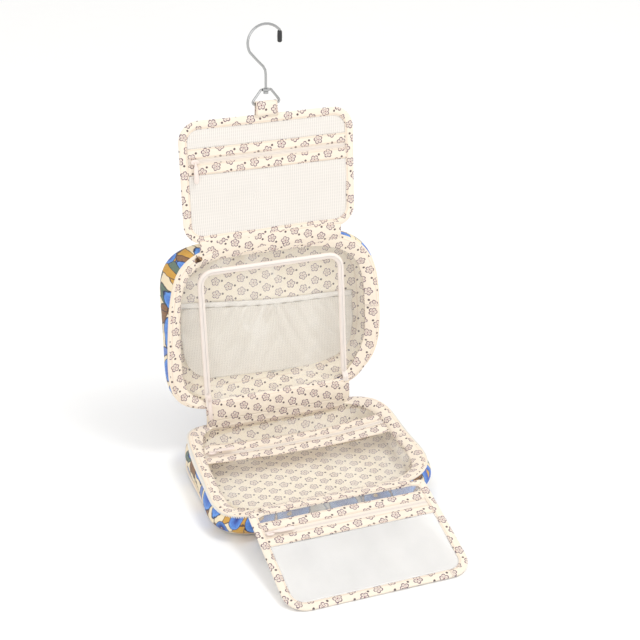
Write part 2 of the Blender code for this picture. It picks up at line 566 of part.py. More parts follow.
def main():
    for old in list(bpy.data.objects):
        bpy.data.objects.remove(old)

    hook = frame_at("hook_holder", (0, 0, 0), 0)
    build_hook(hook)
    ring = frame_at("ring_holder", (0, 0, -RING_TOP), 0)
    build_ring(ring)

    panel = frame_at("panel_holder", (0, 0, -RING_BAR), PANEL_TURN)
    build_tab(panel)
    front = (0.1 * MM, 0.1 * MM + SHEET)
    back = (-0.1 * MM - SHEET, -0.1 * MM)
    panel_zones = [("top_panel_mesh_upper", PANEL_MESH_BAND, WHITE),
                   ("top_panel_strip_upper", PANEL_STRIP_UPPER, CREAM),
                   ("top_panel_zip", ZIP_WIDTH, PINK),
                   ("top_panel_strip_lower", PANEL_STRIP_LOWER, CREAM),
                   ("top_panel_mesh_lower", 0, WHITE)]
    build_panel("top_panel", PANEL_TOP, PANEL_BOTTOM, BINDING, PANEL_FOOT_BINDING,
                (PANEL_CORNER, PANEL_CORNER), panel_zones, panel, front, back, "top_panel_back_mesh")
    strip_between("top_panel_hinge_band", Vector((0, PANEL_BOTTOM - GAP, 0)),
                  Vector((0, PANEL_BOTTOM - BAND_LENGTH + 0.2 * MM, 0)),
                  HINGE_BAND_THICK, HINGE_BAND_WIDTH, CREAM, panel)
    zip_y = PANEL_TOP - BINDING - PANEL_MESH_BAND - PANEL_STRIP_UPPER - 3 * GAP - ZIP_WIDTH / 2
    slider_z = front[1] + GAP
    slider = frame_at("top_panel_slider_holder", (TOP_SLIDER_X, zip_y, slider_z), 0, panel)
    pull = frame_at("top_panel_pull_holder", (0, 0, PULL_LIFT), 0, slider)
    pull.rotation_euler = (0, 0, -math.pi / 2)
    build_zip_slider("top_panel", slider, pull)

    upper = frame_at("upper_case_holder", UPPER_CENTRE, CASE_TURN)
    build_upper_case(upper)
    door_z = (COVER_TOP + COVER_BOTTOM) / 2
    door = frame_at("door_holder", (0, DOOR_BOTTOM, door_z), 0, upper)
    build_door(door, DOOR_BOTTOM)
    slider = frame_at("door_slider_holder", (-DOOR_HALF - GAP, DOOR_SLIDER_Y, DOOR_ZIP_TOP + GAP), 0, upper)
    slider.rotation_euler = (0, 0, math.pi / 2)
    pull = frame_at("door_pull_holder", (-PULL_HINGE, 0, PULL_LIFT), 0, slider)
    pull.rotation_euler = (0, 0, math.pi)
    build_zip_slider("door", slider, pull)
    turn = frame_at("main_zip_turn_holder", CORNER_CENTRE, 0, upper)
    head_place = (CORNER_REACH * math.cos(MAIN_SLIDER_AT), CORNER_REACH * math.sin(MAIN_SLIDER_AT), GAP)
    head = frame_at("main_zip_slider_holder", head_place, 0, turn)
    head.rotation_euler = (0, 0, MAIN_SLIDER_AT - math.pi / 2)
    across, along, thick = SLIDER
    box("main_zip_slider", (-along / 2, -across / 2, 0), (along / 2, across / 2, thick), BRONZE, head,
        metallic=1.0, roughness=0.4)
    width, pull_thick, length = MAIN_PULL
    pull = frame_at("main_zip_pull_holder", (0, across / 2 + GAP + pull_thick / 2, thick), 0, head)
    box("main_zip_pull", (-width / 2, -pull_thick / 2, -length), (width / 2, pull_thick / 2, 0), BRONZE,
        pull, metallic=1.0, roughness=0.4)

    lower = frame_at("lower_case_holder", LOWER_CENTRE, 0)
    build_lower_case(lower)
    cover_zip_y = (COVER_ZIP_REAR + COVER_ZIP_FRONT) / 2
    slider = frame_at("lower_cover_slider_holder", (COVER_SLIDER_X, cover_zip_y, COVER_TOP + GAP), 0, lower)
    pull = frame_at("lower_cover_pull_holder", (PULL_HINGE, 0, PULL_LIFT), 0, slider)
    build_zip_slider("lower_cover", slider, pull)

    gusset = frame_at("gusset_holder", CASE_AXIS, 0)
    gusset_top = UPPER_FRAME @ Vector((0, -SEAM - SEAM_REACH, 1.6 * MM))
    gusset_foot = LOWER_SEAM + Vector((0, -SEAM_REACH, 1.0 * MM))
    strip_between("centre_gusset", gusset_top - CASE_AXIS, gusset_foot - CASE_AXIS, STRIP_THICK, SPINE_WIDTH,
                  CREAM, gusset)
    spine_top = UPPER_FRAME @ Vector((0, -CASE_HALF_Y - 3 * MM, -8 * MM))
    spine_foot = LOWER_CENTRE + Vector((0, CASE_HALF_Y + 3 * MM, -8 * MM))
    strip_between("outer_spine", spine_top - CASE_AXIS, spine_foot - CASE_AXIS, STRIP_THICK,
                  SPINE_WIDTH - SPINE_TRIM, BLUE, gusset)

    flap = frame_at("flap_holder", FLAP_AXIS, FLAP_SLOPE)
    strip_between("flap_hinge_strip", Vector((0, -GAP, 0)), Vector((0, FLAP_TOP + GAP, 0)),
                  HINGE_BAND_THICK, HINGE_BAND_WIDTH, CREAM, flap)
    flap_zones = [("flap_clear_upper", FLAP_NARROW_BAND, CLEAR),
                  ("flap_strip_upper", FLAP_STRIP_UPPER, CREAM),
                  ("flap_zip", FLAP_ZIP_BAND, PINK),
                  ("flap_strip_lower", FLAP_STRIP_LOWER, CREAM),
                  ("flap_clear_lower", 0, CLEAR)]
    build_panel("flap", FLAP_TOP, -PANEL_HEIGHT, BINDING, FLAP_FOOT_BINDING, (PANEL_CORNER, FLAP_TOP_CORNER),
                flap_zones, flap, front, back, "flap_back_clear")
    zip_y = FLAP_TOP - BINDING - FLAP_NARROW_BAND - FLAP_STRIP_UPPER - 3 * GAP - FLAP_ZIP_BAND / 2
    slider = frame_at("flap_slider_holder", (FLAP_SLIDER_X, zip_y, slider_z), 0, flap)
    pull = frame_at("flap_pull_holder", (PULL_HINGE, 0, PULL_LIFT), 0, slider)
    build_zip_slider("flap", slider, pull)

    hang_from(upper, FOLD_AXIS)
    hang_from(lower, LOWER_SEAM)


main()
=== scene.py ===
"""How the hanging toiletry bag looks: cloth, net, clear sheet, zips and wire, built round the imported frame.
Lengths in this file are in millimetres in a part's own plane: x to the right, y up along it, z out of its face."""

import math

import bmesh
import bpy
import numpy as np
from mathutils import Matrix, Vector, noise


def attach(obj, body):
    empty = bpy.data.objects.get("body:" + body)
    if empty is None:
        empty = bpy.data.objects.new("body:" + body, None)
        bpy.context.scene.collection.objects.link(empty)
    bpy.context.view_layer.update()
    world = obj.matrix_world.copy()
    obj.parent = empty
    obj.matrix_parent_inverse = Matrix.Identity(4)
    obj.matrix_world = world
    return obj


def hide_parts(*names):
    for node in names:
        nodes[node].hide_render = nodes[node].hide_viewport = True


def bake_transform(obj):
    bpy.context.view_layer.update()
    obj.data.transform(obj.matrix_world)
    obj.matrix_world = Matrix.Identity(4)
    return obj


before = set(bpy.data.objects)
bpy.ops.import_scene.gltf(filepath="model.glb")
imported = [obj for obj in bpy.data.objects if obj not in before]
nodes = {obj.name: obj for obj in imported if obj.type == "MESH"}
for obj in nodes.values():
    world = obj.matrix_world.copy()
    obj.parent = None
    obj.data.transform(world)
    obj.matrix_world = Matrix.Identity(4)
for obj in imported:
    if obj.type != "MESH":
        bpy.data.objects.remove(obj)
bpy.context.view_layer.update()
MM = 0.001
NO_SEAM = 99.0      # the cloth's distance from a stitch line where there is none


def plane_at(turn, y, z):
    """A part's plane: local x is the world's X, and turn is about it in degrees."""
    return Matrix.Translation((0, y * MM, z * MM)) @ Matrix.Rotation(math.radians(turn), 4, "X")


PANEL = plane_at(84.2, 0, -88)
UPPER = plane_at(82.73, -27.318, -343.244)
LOWER = plane_at(0, -129.878, -467.482)
FLAP = plane_at(14.6765, -228.878, -463.482)
HALF_X, HALF_Y = 131.5, 98.0
PANEL_HALF, PANEL_TOP, PANEL_BOTTOM = 103.5, -11.5, -152.8
FLAP_TOP, FLAP_BOTTOM = -3.5, -141.3
DOOR_HALF, DOOR_TOP, DOOR_BOTTOM = 86.5, 67.5, -79.0
COVER_Z = -4.6
CASE_DEPTH = 33.4
CASE_PROFILE = [(0, 0), (-1.2, -6), (-0.8, -14), (2, -22), (6, -28.4), (12, -32.3), (20, -CASE_DEPTH)]
TOP_ZIP_Y, FLAP_ZIP_Y, COVER_ZIP_Y = -56.95, -36.3, 35.65
PANEL_SHEET = 189       # width of the sheets inside a panel's binding
TAB_WIDTH = 25
CLEAR_THICK = 0.35
RIM_SAMPLES = 720
CURVE_ROWS = 30         # steps along a strip that crosses a joint
FLOWER_ACROSS, FLOWER_STEP, FLOWER_ALONG = 15.5, 8.0, 16.0      # the lining's flowers: columns, stagger and rows
LEAF_SCALE, BLOOM_SCALE = 0.062, 0.024


# ---------------------------------------------------------------- material nodes

class Tree:
    """Short ways to add shader nodes."""

    def __init__(self, name):
        self.material = bpy.data.materials.new(name)
        self.material.use_nodes = True
        self.nodes = self.material.node_tree.nodes
        self.links = self.material.node_tree.links
        self.shader = self.nodes["Principled BSDF"]

    def node(self, kind, values=None, **settings):
        made = self.nodes.new("ShaderNode" + kind)
        for key, value in settings.items():
            setattr(made, key, value)
        for key, value in (values or {}).items():
            self.feed(made.inputs[key], value)
        return made

    def feed(self, socket, value):
        if isinstance(value, bpy.types.NodeSocket):
            self.links.new(value, socket)
        else:
            socket.default_value = value

    def math(self, operation, a, b=0.0, c=0.0, clamp=False):
        values = {0: a, 1: b, 2: c}
        return self.node("Math", values, operation=operation, use_clamp=clamp).outputs[0]

    def plus(self, a, b):
        return self.math("ADD", a, b)

    def minus(self, a, b):
        return self.math("SUBTRACT", a, b)

    def times(self, a, b, clamp=False):
        return self.math("MULTIPLY", a, b, clamp=clamp)

    def over(self, a, b, clamp=False):
        return self.math("DIVIDE", a, b, clamp=clamp)

    def scaled(self, a, factor, base, clamp=False):
        """a times factor, plus base."""
        return self.math("MULTIPLY_ADD", a, factor, base, clamp)

    def most(self, a, b):
        return self.math("MAXIMUM", a, b)

    def size(self, a):
        return self.math("ABSOLUTE", a)

    def apart(self, a, b):
        return self.size(self.minus(a, b))

    def length(self, x, y):
        return self.math("SQRT", self.plus(self.times(x, x), self.times(y, y)))

    def stretch(self, vector, factors):
        return self.node("VectorMath", {0: vector, 1: factors}, operation="MULTIPLY").outputs[0]

    def warp(self, vector, pushed, scale, detail, amount):
        """pushed, moved further in the plane by the coloured noise at vector."""
        push = self.node("TexNoise", {"Vector": vector, "Scale": scale, "Detail": detail}).outputs["Color"]
        values = {0: push, 1: (amount, amount, 0), 2: pushed}
        return self.node("VectorMath", values, operation="MULTIPLY_ADD").outputs[0]

    def mix(self, share, a, b):
        made = self.node("Mix", data_type="RGBA")
        self.feed(made.inputs[0], share)
        for socket, colour in ((made.inputs[6], a), (made.inputs[7], b)):
            self.feed(socket, colour if isinstance(colour, bpy.types.NodeSocket) else (*colour, 1))
        return made.outputs[2]

    def line(self, distance, half_width, soft):
        """1 where distance is below half_width, falling to 0 over soft."""
        outer = half_width + soft
        return self.over(self.minus(outer, distance), soft, clamp=True)

    def cloth(self):
        """The cloth's own coordinates in millimetres: across x, along y and distance from a stitch line."""
        read = self.node("Attribute", attribute_name="cloth")
        split = self.node("SeparateXYZ", {0: read.outputs["Vector"]})
        return read.outputs["Vector"], split.outputs[0], split.outputs[1], split.outputs[2]

    def place(self):
        """Object coordinates in millimetres."""
        return self.stretch(self.node("TexCoord").outputs["Object"], (1000, 1000, 1000))

    def noise(self, vector, scale, detail=2.0, rough=0.5):
        made = self.node("TexNoise", {"Vector": vector, "Scale": scale, "Detail": detail, "Roughness": rough})
        return made.outputs["Fac"]

    def bump(self, height, distance, strength=1.0, below=None):
        made = self.node("Bump", {"Height": height, "Distance": distance * MM, "Strength": strength})
        if below is not None:
            self.feed(made.inputs["Normal"], below)
        return made.outputs["Normal"]

    def finish(self, colour, roughness, normal=None, alpha=None, sheen=None, **fixed):
        self.feed(self.shader.inputs["Base Color"], colour)
        self.feed(self.shader.inputs["Roughness"], roughness)
        if normal is not None:
            self.feed(self.shader.inputs["Normal"], normal)
        if alpha is not None:
            self.feed(self.shader.inputs["Alpha"], alpha)
        if sheen is not None:
            fixed.update(Sheen_Weight=sheen, Sheen_Roughness=0.5)
        for key, value in fixed.items():
            self.shader.inputs[key.replace("_", " ")].default_value = value
        return self.material


def shaded(colour, factor):
    return [min(1, c * factor) for c in colour]


def weave(tree, vector, pitch=0.55):
    """Plain weave: two crossed sets of fine ridges."""
    split = tree.node("SeparateXYZ", {0: vector})
    waves = [tree.math("SINE", tree.times(split.outputs[axis], 2 * math.pi / pitch)) for axis in (0, 1)]
    return tree.scaled(tree.times(*waves), 0.5, 0.5)


def stitches(tree, along, distance):
    """Dashes of thread where the distance from the stitch line is near 0."""
    phase = tree.math("FRACT", tree.over(along, 2.6))
    dash = tree.math("LESS_THAN", phase, 0.68)
    away = tree.size(distance)
    return tree.times(dash, tree.line(away, 0.18, 0.12)), tree.line(away, 0.3, 0.9)


def lining_print(name, ground, ink, strength=1.0, turned=0.0):
    """Cream cloth with staggered outline flowers and a dark dot beside each. The rows can be turned by an angle in
    degrees, as on strips cut on the bias."""
    tree = Tree(name)
    vector, along_u, along_v, seam = tree.cloth()
    drift = tree.noise(vector, 0.06, 1)
    along_u = tree.scaled(tree.minus(drift, 0.5), 1.6, along_u)
    turn = math.radians(turned)
    u = tree.scaled(along_v, math.sin(turn), tree.times(along_u, math.cos(turn)))
    v = tree.scaled(along_u, -math.sin(turn), tree.times(along_v, math.cos(turn)))
    column = tree.math("ROUND", tree.over(u, FLOWER_ACROSS))
    x = tree.scaled(column, -FLOWER_ACROSS, u)
    shifted = tree.scaled(column, -FLOWER_STEP, v)
    row = tree.math("ROUND", tree.over(shifted, FLOWER_ALONG))
    y = tree.scaled(row, -FLOWER_ALONG, shifted)
    radius = tree.length(x, y)
    cell = tree.node("CombineXYZ", {0: column, 1: row})
    chance = tree.node("TexWhiteNoise", {"Vector": cell.outputs[0]}, noise_dimensions="2D").outputs["Value"]
    angle = tree.plus(tree.math("ARCTAN2", y, x), tree.times(chance, 6.28))
    petal_angle = tree.times(angle, 2.5)
    lobe = tree.size(tree.math("COSINE", petal_angle))
    rib = tree.size(tree.math("SINE", petal_angle))
    edge = tree.scaled(tree.math("POWER", lobe, 0.6), 2.1, 2.7)
    outline = tree.line(tree.apart(radius, edge), 0.42, 0.35)
    within = tree.math("LESS_THAN", radius, edge)
    gap = tree.times(radius, tree.times(lobe, 0.4))
    parting = tree.times(tree.line(gap, 0.2, 0.25), within)
    vein = tree.times(radius, tree.times(rib, 0.4))
    veins = tree.times(tree.line(vein, 0.08, 0.2), tree.math("LESS_THAN", radius, 3.2))
    spokes = tree.times(tree.most(parting, veins), tree.math("GREATER_THAN", radius, 1.5))
    ring = tree.line(radius, 0.75, 0.3)
    lines = tree.most(tree.most(outline, spokes), ring)
    patchy = tree.scaled(tree.noise(vector, 0.5, 2), 1.6, 0.1, clamp=True)
    lines = tree.times(tree.times(lines, patchy), strength, clamp=True)
    step = tree.math("FLOOR", tree.over(u, FLOWER_ACROSS))
    dot_x = tree.minus(tree.scaled(step, -FLOWER_ACROSS, u), FLOWER_ACROSS / 2)
    dot_v = tree.scaled(step, -FLOWER_STEP, v)
    dot_y = tree.scaled(tree.math("ROUND", tree.over(dot_v, FLOWER_ALONG)), -FLOWER_ALONG, dot_v)
    dots = tree.line(tree.length(dot_x, dot_y), 1.15, 0.35)
    tone = tree.noise(vector, 0.035, 3)
    base = tree.mix(tone, shaded(ground, 0.97), shaded(ground, 1.03))
    colour = tree.mix(tree.times(within, 0.06), base, (0.62, 0.42, 0.6))
    warm = tree.mix(tree.line(radius, 0.6, 1.6), ink, (0.2, 0.05, 0.1))
    colour = tree.mix(lines, colour, warm)
    colour = tree.mix(tree.times(dots, 0.92), colour, (0.05, 0.02, 0.035))
    thread, dent = stitches(tree, along_v, seam)
    # Painted shade in the dent along the stitch line, with a warm stain there too: the cloth is mixed towards darker
    # brown
    colour = tree.mix(tree.times(dent, 0.22), colour, (0.62, 0.42, 0.3))
    colour = tree.mix(tree.times(thread, 0.55), colour, (0.86, 0.7, 0.55))
    height = tree.scaled(dent, -3.0, weave(tree, vector))
    height = tree.scaled(thread, 1.5, height)
    normal = tree.bump(height, 0.1, 0.6, tree.bump(tree.noise(vector, 0.12, 3), 1.2, 0.35))
    return tree.finish(colour, 0.82, normal, sheen=0.12)


def outer_print(name):
    """Large painted flowers: blue blooms with mustard, green and brown leaves on cream."""
    tree = Tree(name)
    vector, u, v, seam = tree.cloth()
    pushed = tree.warp(vector, vector, 0.03, 0.0, 17)
    pushed = tree.warp(vector, pushed, 0.14, 1.0, 4)
    flat = tree.stretch(pushed, (1, 1, 0))
    leaf, gaps = (tree.node("TexVoronoi", {"Vector": flat, "Scale": LEAF_SCALE, "Randomness": 0.95},
                            voronoi_dimensions="2D", feature=feature) for feature in ("F1", "DISTANCE_TO_EDGE"))
    pick = tree.node("SeparateColor", {0: leaf.outputs["Color"]}).outputs[0]
    ramp = tree.node("ValToRGB", {0: pick})
    ramp.color_ramp.interpolation = "CONSTANT"
    stops = [(0.0, (0.85, 0.72, 0.5)), (0.28, (0.56, 0.27, 0.005)), (0.48, (0.035, 0.11, 0.095)),
             (0.62, (0.83, 0.70, 0.5)), (0.74, (0.17, 0.055, 0.012)), (0.87, (0.06, 0.17, 0.55))]
    for i, (where, colour) in enumerate(stops):
        stop = ramp.color_ramp.elements[i] if i < 2 else ramp.color_ramp.elements.new(where)
        stop.position = where
        stop.color = (*colour, 1)
    veins = tree.noise(flat, 0.35, 3)
    leaves = tree.mix(tree.times(veins, 0.22), ramp.outputs[0], (0.9, 0.78, 0.52))
    leaves = tree.mix(tree.times(tree.line(gaps.outputs["Distance"], 0.035, 0.03), 0.85), leaves,
                      (0.035, 0.03, 0.05))
    bloom = tree.node("TexVoronoi", {"Vector": flat, "Scale": BLOOM_SCALE, "Randomness": 0.6}, voronoi_dimensions="2D")
    offset = tree.stretch(flat, (BLOOM_SCALE, BLOOM_SCALE, 0))
    arm = tree.node("VectorMath", {0: offset, 1: bloom.outputs["Position"]}, operation="SUBTRACT")
    arm = tree.node("SeparateXYZ", {0: arm.outputs[0]})
    petal_angle = tree.times(tree.math("ARCTAN2", arm.outputs[1], arm.outputs[0]), 2.5)
    lobe = tree.size(tree.math("COSINE", petal_angle))
    edge = tree.scaled(tree.math("POWER", lobe, 0.7), 0.17, 0.27)
    share = tree.over(bloom.outputs["Distance"], edge)
    inside = tree.line(share, 0.97, 0.04)
    blue = tree.mix(tree.times(share, tree.scaled(veins, 1.2, 0.3), clamp=True),
                    (0.025, 0.05, 0.36), (0.15, 0.36, 0.82))
    parting = tree.line(tree.times(lobe, share), 0.05, 0.12)
    blue = tree.mix(tree.times(parting, 0.8), blue, (0.02, 0.02, 0.12))
    blue = tree.mix(tree.line(tree.scaled(veins, 0.12, share), 0.19, 0.05), blue, (0.62, 0.36, 0.05))
    blue = tree.mix(tree.line(tree.apart(share, 0.97), 0.02, 0.06), blue,
                    (0.02, 0.02, 0.06))
    colour = tree.mix(inside, leaves, blue)
    thread, dent = stitches(tree, tree.plus(u, v), seam)
    colour = tree.mix(tree.times(thread, 0.6), colour, (0.8, 0.7, 0.55))
    height = tree.scaled(dent, -4.0, weave(tree, vector, 0.6))
    normal = tree.bump(height, 0.12, 0.7, tree.bump(tree.noise(vector, 0.08, 2), 2.2, 0.5))
    return tree.finish(colour, 0.8, normal, sheen=0.15)


def plain_cloth(name, colour, other, pitch=0.5):
    """Plain woven tape or piping with slow changes of tone."""
    tree = Tree(name)
    vector, _, v, seam = tree.cloth()
    shade = tree.mix(tree.scaled(tree.noise(vector, 0.09, 3), 1.2, -0.1, clamp=True), colour, other)
    thread, dent = stitches(tree, v, seam)
    shade = tree.mix(tree.times(thread, 0.5), shade, shaded(colour, 1.15))
    height = tree.scaled(dent, -3.0, weave(tree, vector, pitch))
    return tree.finish(shade, 0.78, tree.bump(height, 0.1, 0.6), sheen=0.1)


def zip_cloth(name, colour, coil):
    """Zip tape with the coil's ridges down its middle; the cloth's third coordinate is the distance from it."""
    tree = Tree(name)
    vector, _, v, middle = tree.cloth()
    tooth = tree.size(tree.math("SINE", tree.times(v, math.pi / 1.1)))
    away = tree.size(middle)
    coiled, parting = tree.line(away, 1.5, 0.4), tree.line(away, 0.1, 0.25)
    shade = tree.mix(tree.noise(vector, 0.05, 2), shaded(colour, 0.97), colour)
    # Painted shade: the coil's colour is darker in the gaps between its teeth and along the parting down its middle
    shade = tree.mix(coiled, shade, tree.mix(tooth, shaded(coil, 0.78), coil))
    shade = tree.mix(tree.times(parting, 0.5), shade, shaded(coil, 0.6))
    height = tree.times(coiled, tree.scaled(tooth, 0.7, 0.6))
    normal = tree.bump(height, 0.35, 0.8, tree.bump(weave(tree, vector, 0.5), 0.06, 0.5))
    return tree.finish(shade, 0.55, normal, sheen=0.08)


def net(name, colour, pitch):
    """Fine net: threads both ways, with thinner cover in the holes."""
    thread_alpha, hole_alpha = 0.74, 0.62
    tree = Tree(name)
    vector, u, v, _ = tree.cloth()
    lines = [tree.line(tree.apart(tree.math("FRACT", tree.over(way, size)), 0.5), 0.1, 0.1)
             for way, size in ((u, pitch), (v, pitch * 1.6))]
    thread = tree.most(lines[0], tree.times(lines[1], 0.3))
    alpha = tree.scaled(thread, thread_alpha - hole_alpha, hole_alpha)
    shade = tree.mix(tree.noise(vector, 0.03, 3), shaded(colour, 0.95), colour)
    shade = tree.mix(tree.times(thread, 0.5), shade, shaded(colour, 1.05))
    return tree.finish(shade, 0.75, tree.bump(thread, 0.1, 0.4), alpha, sheen=0.1)


def clear_sheet(name, colour, alpha, wrinkle, highlight_streaks):
    """Clear soft sheet, a little milky, with the small waves of its surface and painted highlights: whiter streaks
    along some creases.
    """
    tree = Tree(name)
    vector = tree.place()
    waves = tree.noise(tree.stretch(vector, (1, 0.45, 1)), 0.028, 2, 0.4)
    fine = tree.noise(vector, 0.22, 2)
    haze = tree.mix(waves, shaded(colour, 0.94), colour)
    rough = tree.scaled(fine, 0.12, 0.1)
    normal = tree.bump(fine, 0.35, 0.4, tree.bump(waves, wrinkle, 0.8))
    crease_highlight = tree.line(tree.apart(waves, 0.56), 0.008, 0.09)
    patch = tree.scaled(tree.noise(vector, 0.012, 2), 4.0, -1.7, clamp=True)
    # Painted highlights: the sheet shows more of its milky colour, so it looks whiter, where its waves rise and along
    # creases in patches
    veil = tree.scaled(waves, 0.12, alpha - 0.06)
    veil = tree.scaled(tree.times(crease_highlight, patch), highlight_streaks, veil)
    return tree.finish(haze, rough, normal, veil, IOR=1.5, Coat_Weight=0.3, Coat_Roughness=0.06)


def metal(name, colour, rough, scratch=0.08, worn=None):
    """Polished or painted metal with fine scratches and, where given, a worn colour in patches."""
    tree = Tree(name)
    vector = tree.place()
    grain = tree.noise(tree.stretch(vector, (3, 3, 0.4)), 1.4, 4)
    shade = tree.mix(grain, shaded(colour, 0.86), colour)
    if worn:
        shade = tree.mix(tree.line(tree.noise(vector, 0.25, 3), 0.42, 0.12), shade, worn)
    return tree.finish(shade, tree.scaled(grain, scratch, rough), tree.bump(grain, 0.02, 0.5), Metallic=1.0)


def soft_plastic(name, colour, rough):
    """Moulded rubber or plastic with a fine grain."""
    tree = Tree(name)
    grain = tree.noise(tree.place(), 3.0, 3)
    shade = tree.mix(grain, shaded(colour, 0.8), shaded(colour, 1.15))
    return tree.finish(shade, tree.scaled(grain, 0.2, rough), tree.bump(grain, 0.05, 0.5))


LINING = lining_print("lining_print", (0.89, 0.79, 0.665), (0.1, 0.035, 0.09), turned=44)
# The inside lining: the lining's print, not turned, with a lighter ground and paler ink, painted light to make up for
# the shade under the clear covers
LINING_INSIDE_BRIGHTENED = lining_print("lining_print_inside", (0.96, 0.875, 0.725), (0.13, 0.05, 0.12), 0.9)
OUTER = outer_print("outer_print")
PIPING = plain_cloth("cream_piping", (0.86, 0.72, 0.57), (0.9, 0.79, 0.66))
ELASTIC = plain_cloth("white_elastic", (0.82, 0.78, 0.72), (0.88, 0.85, 0.8), 1.0)
ZIP = zip_cloth("pink_zip", (0.94, 0.85, 0.79), (0.95, 0.87, 0.81))
ZIP_PALE = zip_cloth("cream_zip", (0.88, 0.79, 0.69), (0.89, 0.8, 0.72))
MAIN_TAPE = zip_cloth("main_zip_tape", (0.86, 0.8, 0.7), (0.88, 0.84, 0.78))
TEETH = soft_plastic("white_teeth", (0.84, 0.82, 0.78), 0.3)
NET = net("white_net", (0.93, 0.89, 0.84), 2.3)
POCKET_NET = net("pocket_net", (0.97, 0.92, 0.84), 2.0)
CLEAR = clear_sheet("clear_sheet", (0.95, 0.93, 0.89), 0.09, 1.6, 0.16)
CLEAR_THIN = clear_sheet("thin_clear_sheet", (0.9, 0.92, 0.95), 0.1, 0.5, 0.05)
CLEAR_FLAT = clear_sheet("clear_flat_sheet", (0.99, 0.975, 0.955), 0.5, 0.4, 0.0)
STEEL = metal("polished_wire", (0.45, 0.455, 0.46), 0.2)
PINK_METAL = soft_plastic("pink_slider", (0.86, 0.75, 0.69), 0.28)
BRONZE = metal("bronze_slider", (0.12, 0.07, 0.045), 0.3, 0.15, (0.4, 0.26, 0.16))
TIP = soft_plastic("dark_tip", (0.025, 0.025, 0.027), 0.42)


# ---------------------------------------------------------------- shapes

def ripple(points, size, amount, seed):
    """Smooth noise at each point, between about -amount and amount."""
    flat = points.reshape(-1, points.shape[-1])
    shift = Vector((seed * 17.3, seed * 5.1, seed * 9.7))
    found = [noise.noise(Vector((p[0], p[1], 0)) / size + shift) for p in flat]
    return np.array(found).reshape(points.shape[:-1]) * amount * 1.6


def build(name, points, faces, cloth, material, place):
    """A mesh in world coordinates from local millimetres, with the cloth's coordinates on its points."""
    mesh = bpy.data.meshes.new(name)
    mesh.from_pydata([place @ Vector(p * MM) for p in points], [], faces)
    if cloth is not None:
        layer = mesh.attributes.new("cloth", "FLOAT_VECTOR", "POINT")
        layer.data.foreach_set("vector", np.asarray(cloth, np.float32).ravel())
    turned_out = bmesh.new()
    turned_out.from_mesh(mesh)
    bmesh.ops.recalc_face_normals(turned_out, faces=turned_out.faces)
    if turned_out.calc_volume(signed=True) < 0:
        bmesh.ops.reverse_faces(turned_out, faces=turned_out.faces)
    turned_out.to_mesh(mesh)
    turned_out.free()
    mesh.materials.append(material)
    mesh.shade_smooth()
    piece = bpy.data.objects.new(name, mesh)
    bpy.context.scene.collection.objects.link(piece)
    return piece


def unit(vectors):
    """The same directions at length 1."""
    return vectors / np.maximum(np.linalg.norm(vectors, axis=-1, keepdims=True), 1e-9)


def outwards(line, closed=False):
    """Unit tangents of a path in the plane, and the directions to their right."""
    tangent = unit(np.roll(line, -1, 0) - np.roll(line, 1, 0) if closed else np.gradient(line, axis=0))
    return tangent, np.stack([tangent[:, 1], -tangent[:, 0]], axis=1)


def doubled(points, first, second, thick):
    """A grid's points, then the same points moved back by its thickness. Its face looks along first x second."""
    back = points - unit(np.cross(first, second)) * thick
    return np.concatenate([points.reshape(-1, 3), back.reshape(-1, 3)])


def sheet(name, points, cloth, thick, material, place):
    """A closed sheet: a grid of points on its face, and the same points moved back by its thickness.
    Going along a row and then up to the next turns left as seen from its face."""
    rows, cols = points.shape[:2]
    count = rows * cols
    every = doubled(points, np.gradient(points, axis=1), np.gradient(points, axis=0), thick)
    faces = []
    for i in range(rows - 1):
        for j in range(cols - 1):
            a, b = i * cols + j, i * cols + j + 1
            c, d = b + cols, a + cols
            faces.append((a, b, c, d))
            faces.append((count + d, count + c, count + b, count + a))
    ring = [j for j in range(cols)] + [i * cols + cols - 1 for i in range(1, rows)]
    ring += [(rows - 1) * cols + j for j in range(cols - 2, -1, -1)] + [i * cols for i in range(rows - 2, 0, -1)]
    for a, b in zip(ring, ring[1:] + ring[:1]):
        faces.append((b, a, count + a, count + b))
    coordinates = np.concatenate([cloth.reshape(-1, 3)] * 2)
    return build(name, every, faces, coordinates, material, place)


def resample(path, count, closed=False):
    """Points evenly spaced along a path."""
    path = np.asarray(path, float)
    if closed:
        path = np.concatenate([path, path[:1]])
    steps = np.linalg.norm(np.diff(path, axis=0), axis=1)
    far = np.concatenate([[0], np.cumsum(steps)])
    at = np.linspace(0, far[-1], count + 1)[:-1] if closed else np.linspace(0, far[-1], count)
    return np.stack([np.interp(at, far, path[:, k]) for k in range(path.shape[1])], axis=1), at


def level(points):
    """The bend that leaves everything where it is."""
    return points


def sweep(name, path, section, material, place, count, closed=False, cloth_at=(0.0, 1.0), seam=None, lift=None,
          bend=level):
    """A solid of constant section along a path in the plane. Section points are (outwards, height), anticlockwise.
    cloth_at is (offset, sign) for the cloth's x from the outward distance; seam is where it is stitched."""
    line, along = resample(path, count, closed)
    _, outward = outwards(line, closed)
    height = np.zeros(len(line)) if lift is None else lift(line)
    points, cloth = [], []
    offset, sign = cloth_at
    for middle, out_way, up_by, far in zip(line, outward, height, along):
        for out, up in section:
            points.append((*(middle + out_way * out), up + up_by))
            cloth.append((offset + sign * out, far, NO_SEAM if seam is None else out - seam))
    n, m = len(line), len(section)
    faces = []
    for i in range(n if closed else n - 1):
        k = (i + 1) % n
        for j in range(m):
            q = (j + 1) % m
            faces.append((i * m + j, i * m + q, k * m + q, k * m + j))
    if not closed:
        faces.append(tuple(range(m - 1, -1, -1)))
        faces.append(tuple((n - 1) * m + j for j in range(m)))
    piece = build(name, bend(np.array(points)), faces, cloth, material, place)
    piece.data.set_sharp_from_angle(angle=math.radians(65))
    return piece


def circle(radius, sides, out, up):
    turns = [2 * math.pi * k / sides for k in range(sides)]
    return [(out + radius * math.cos(t), up + radius * math.sin(t)) for t in turns]


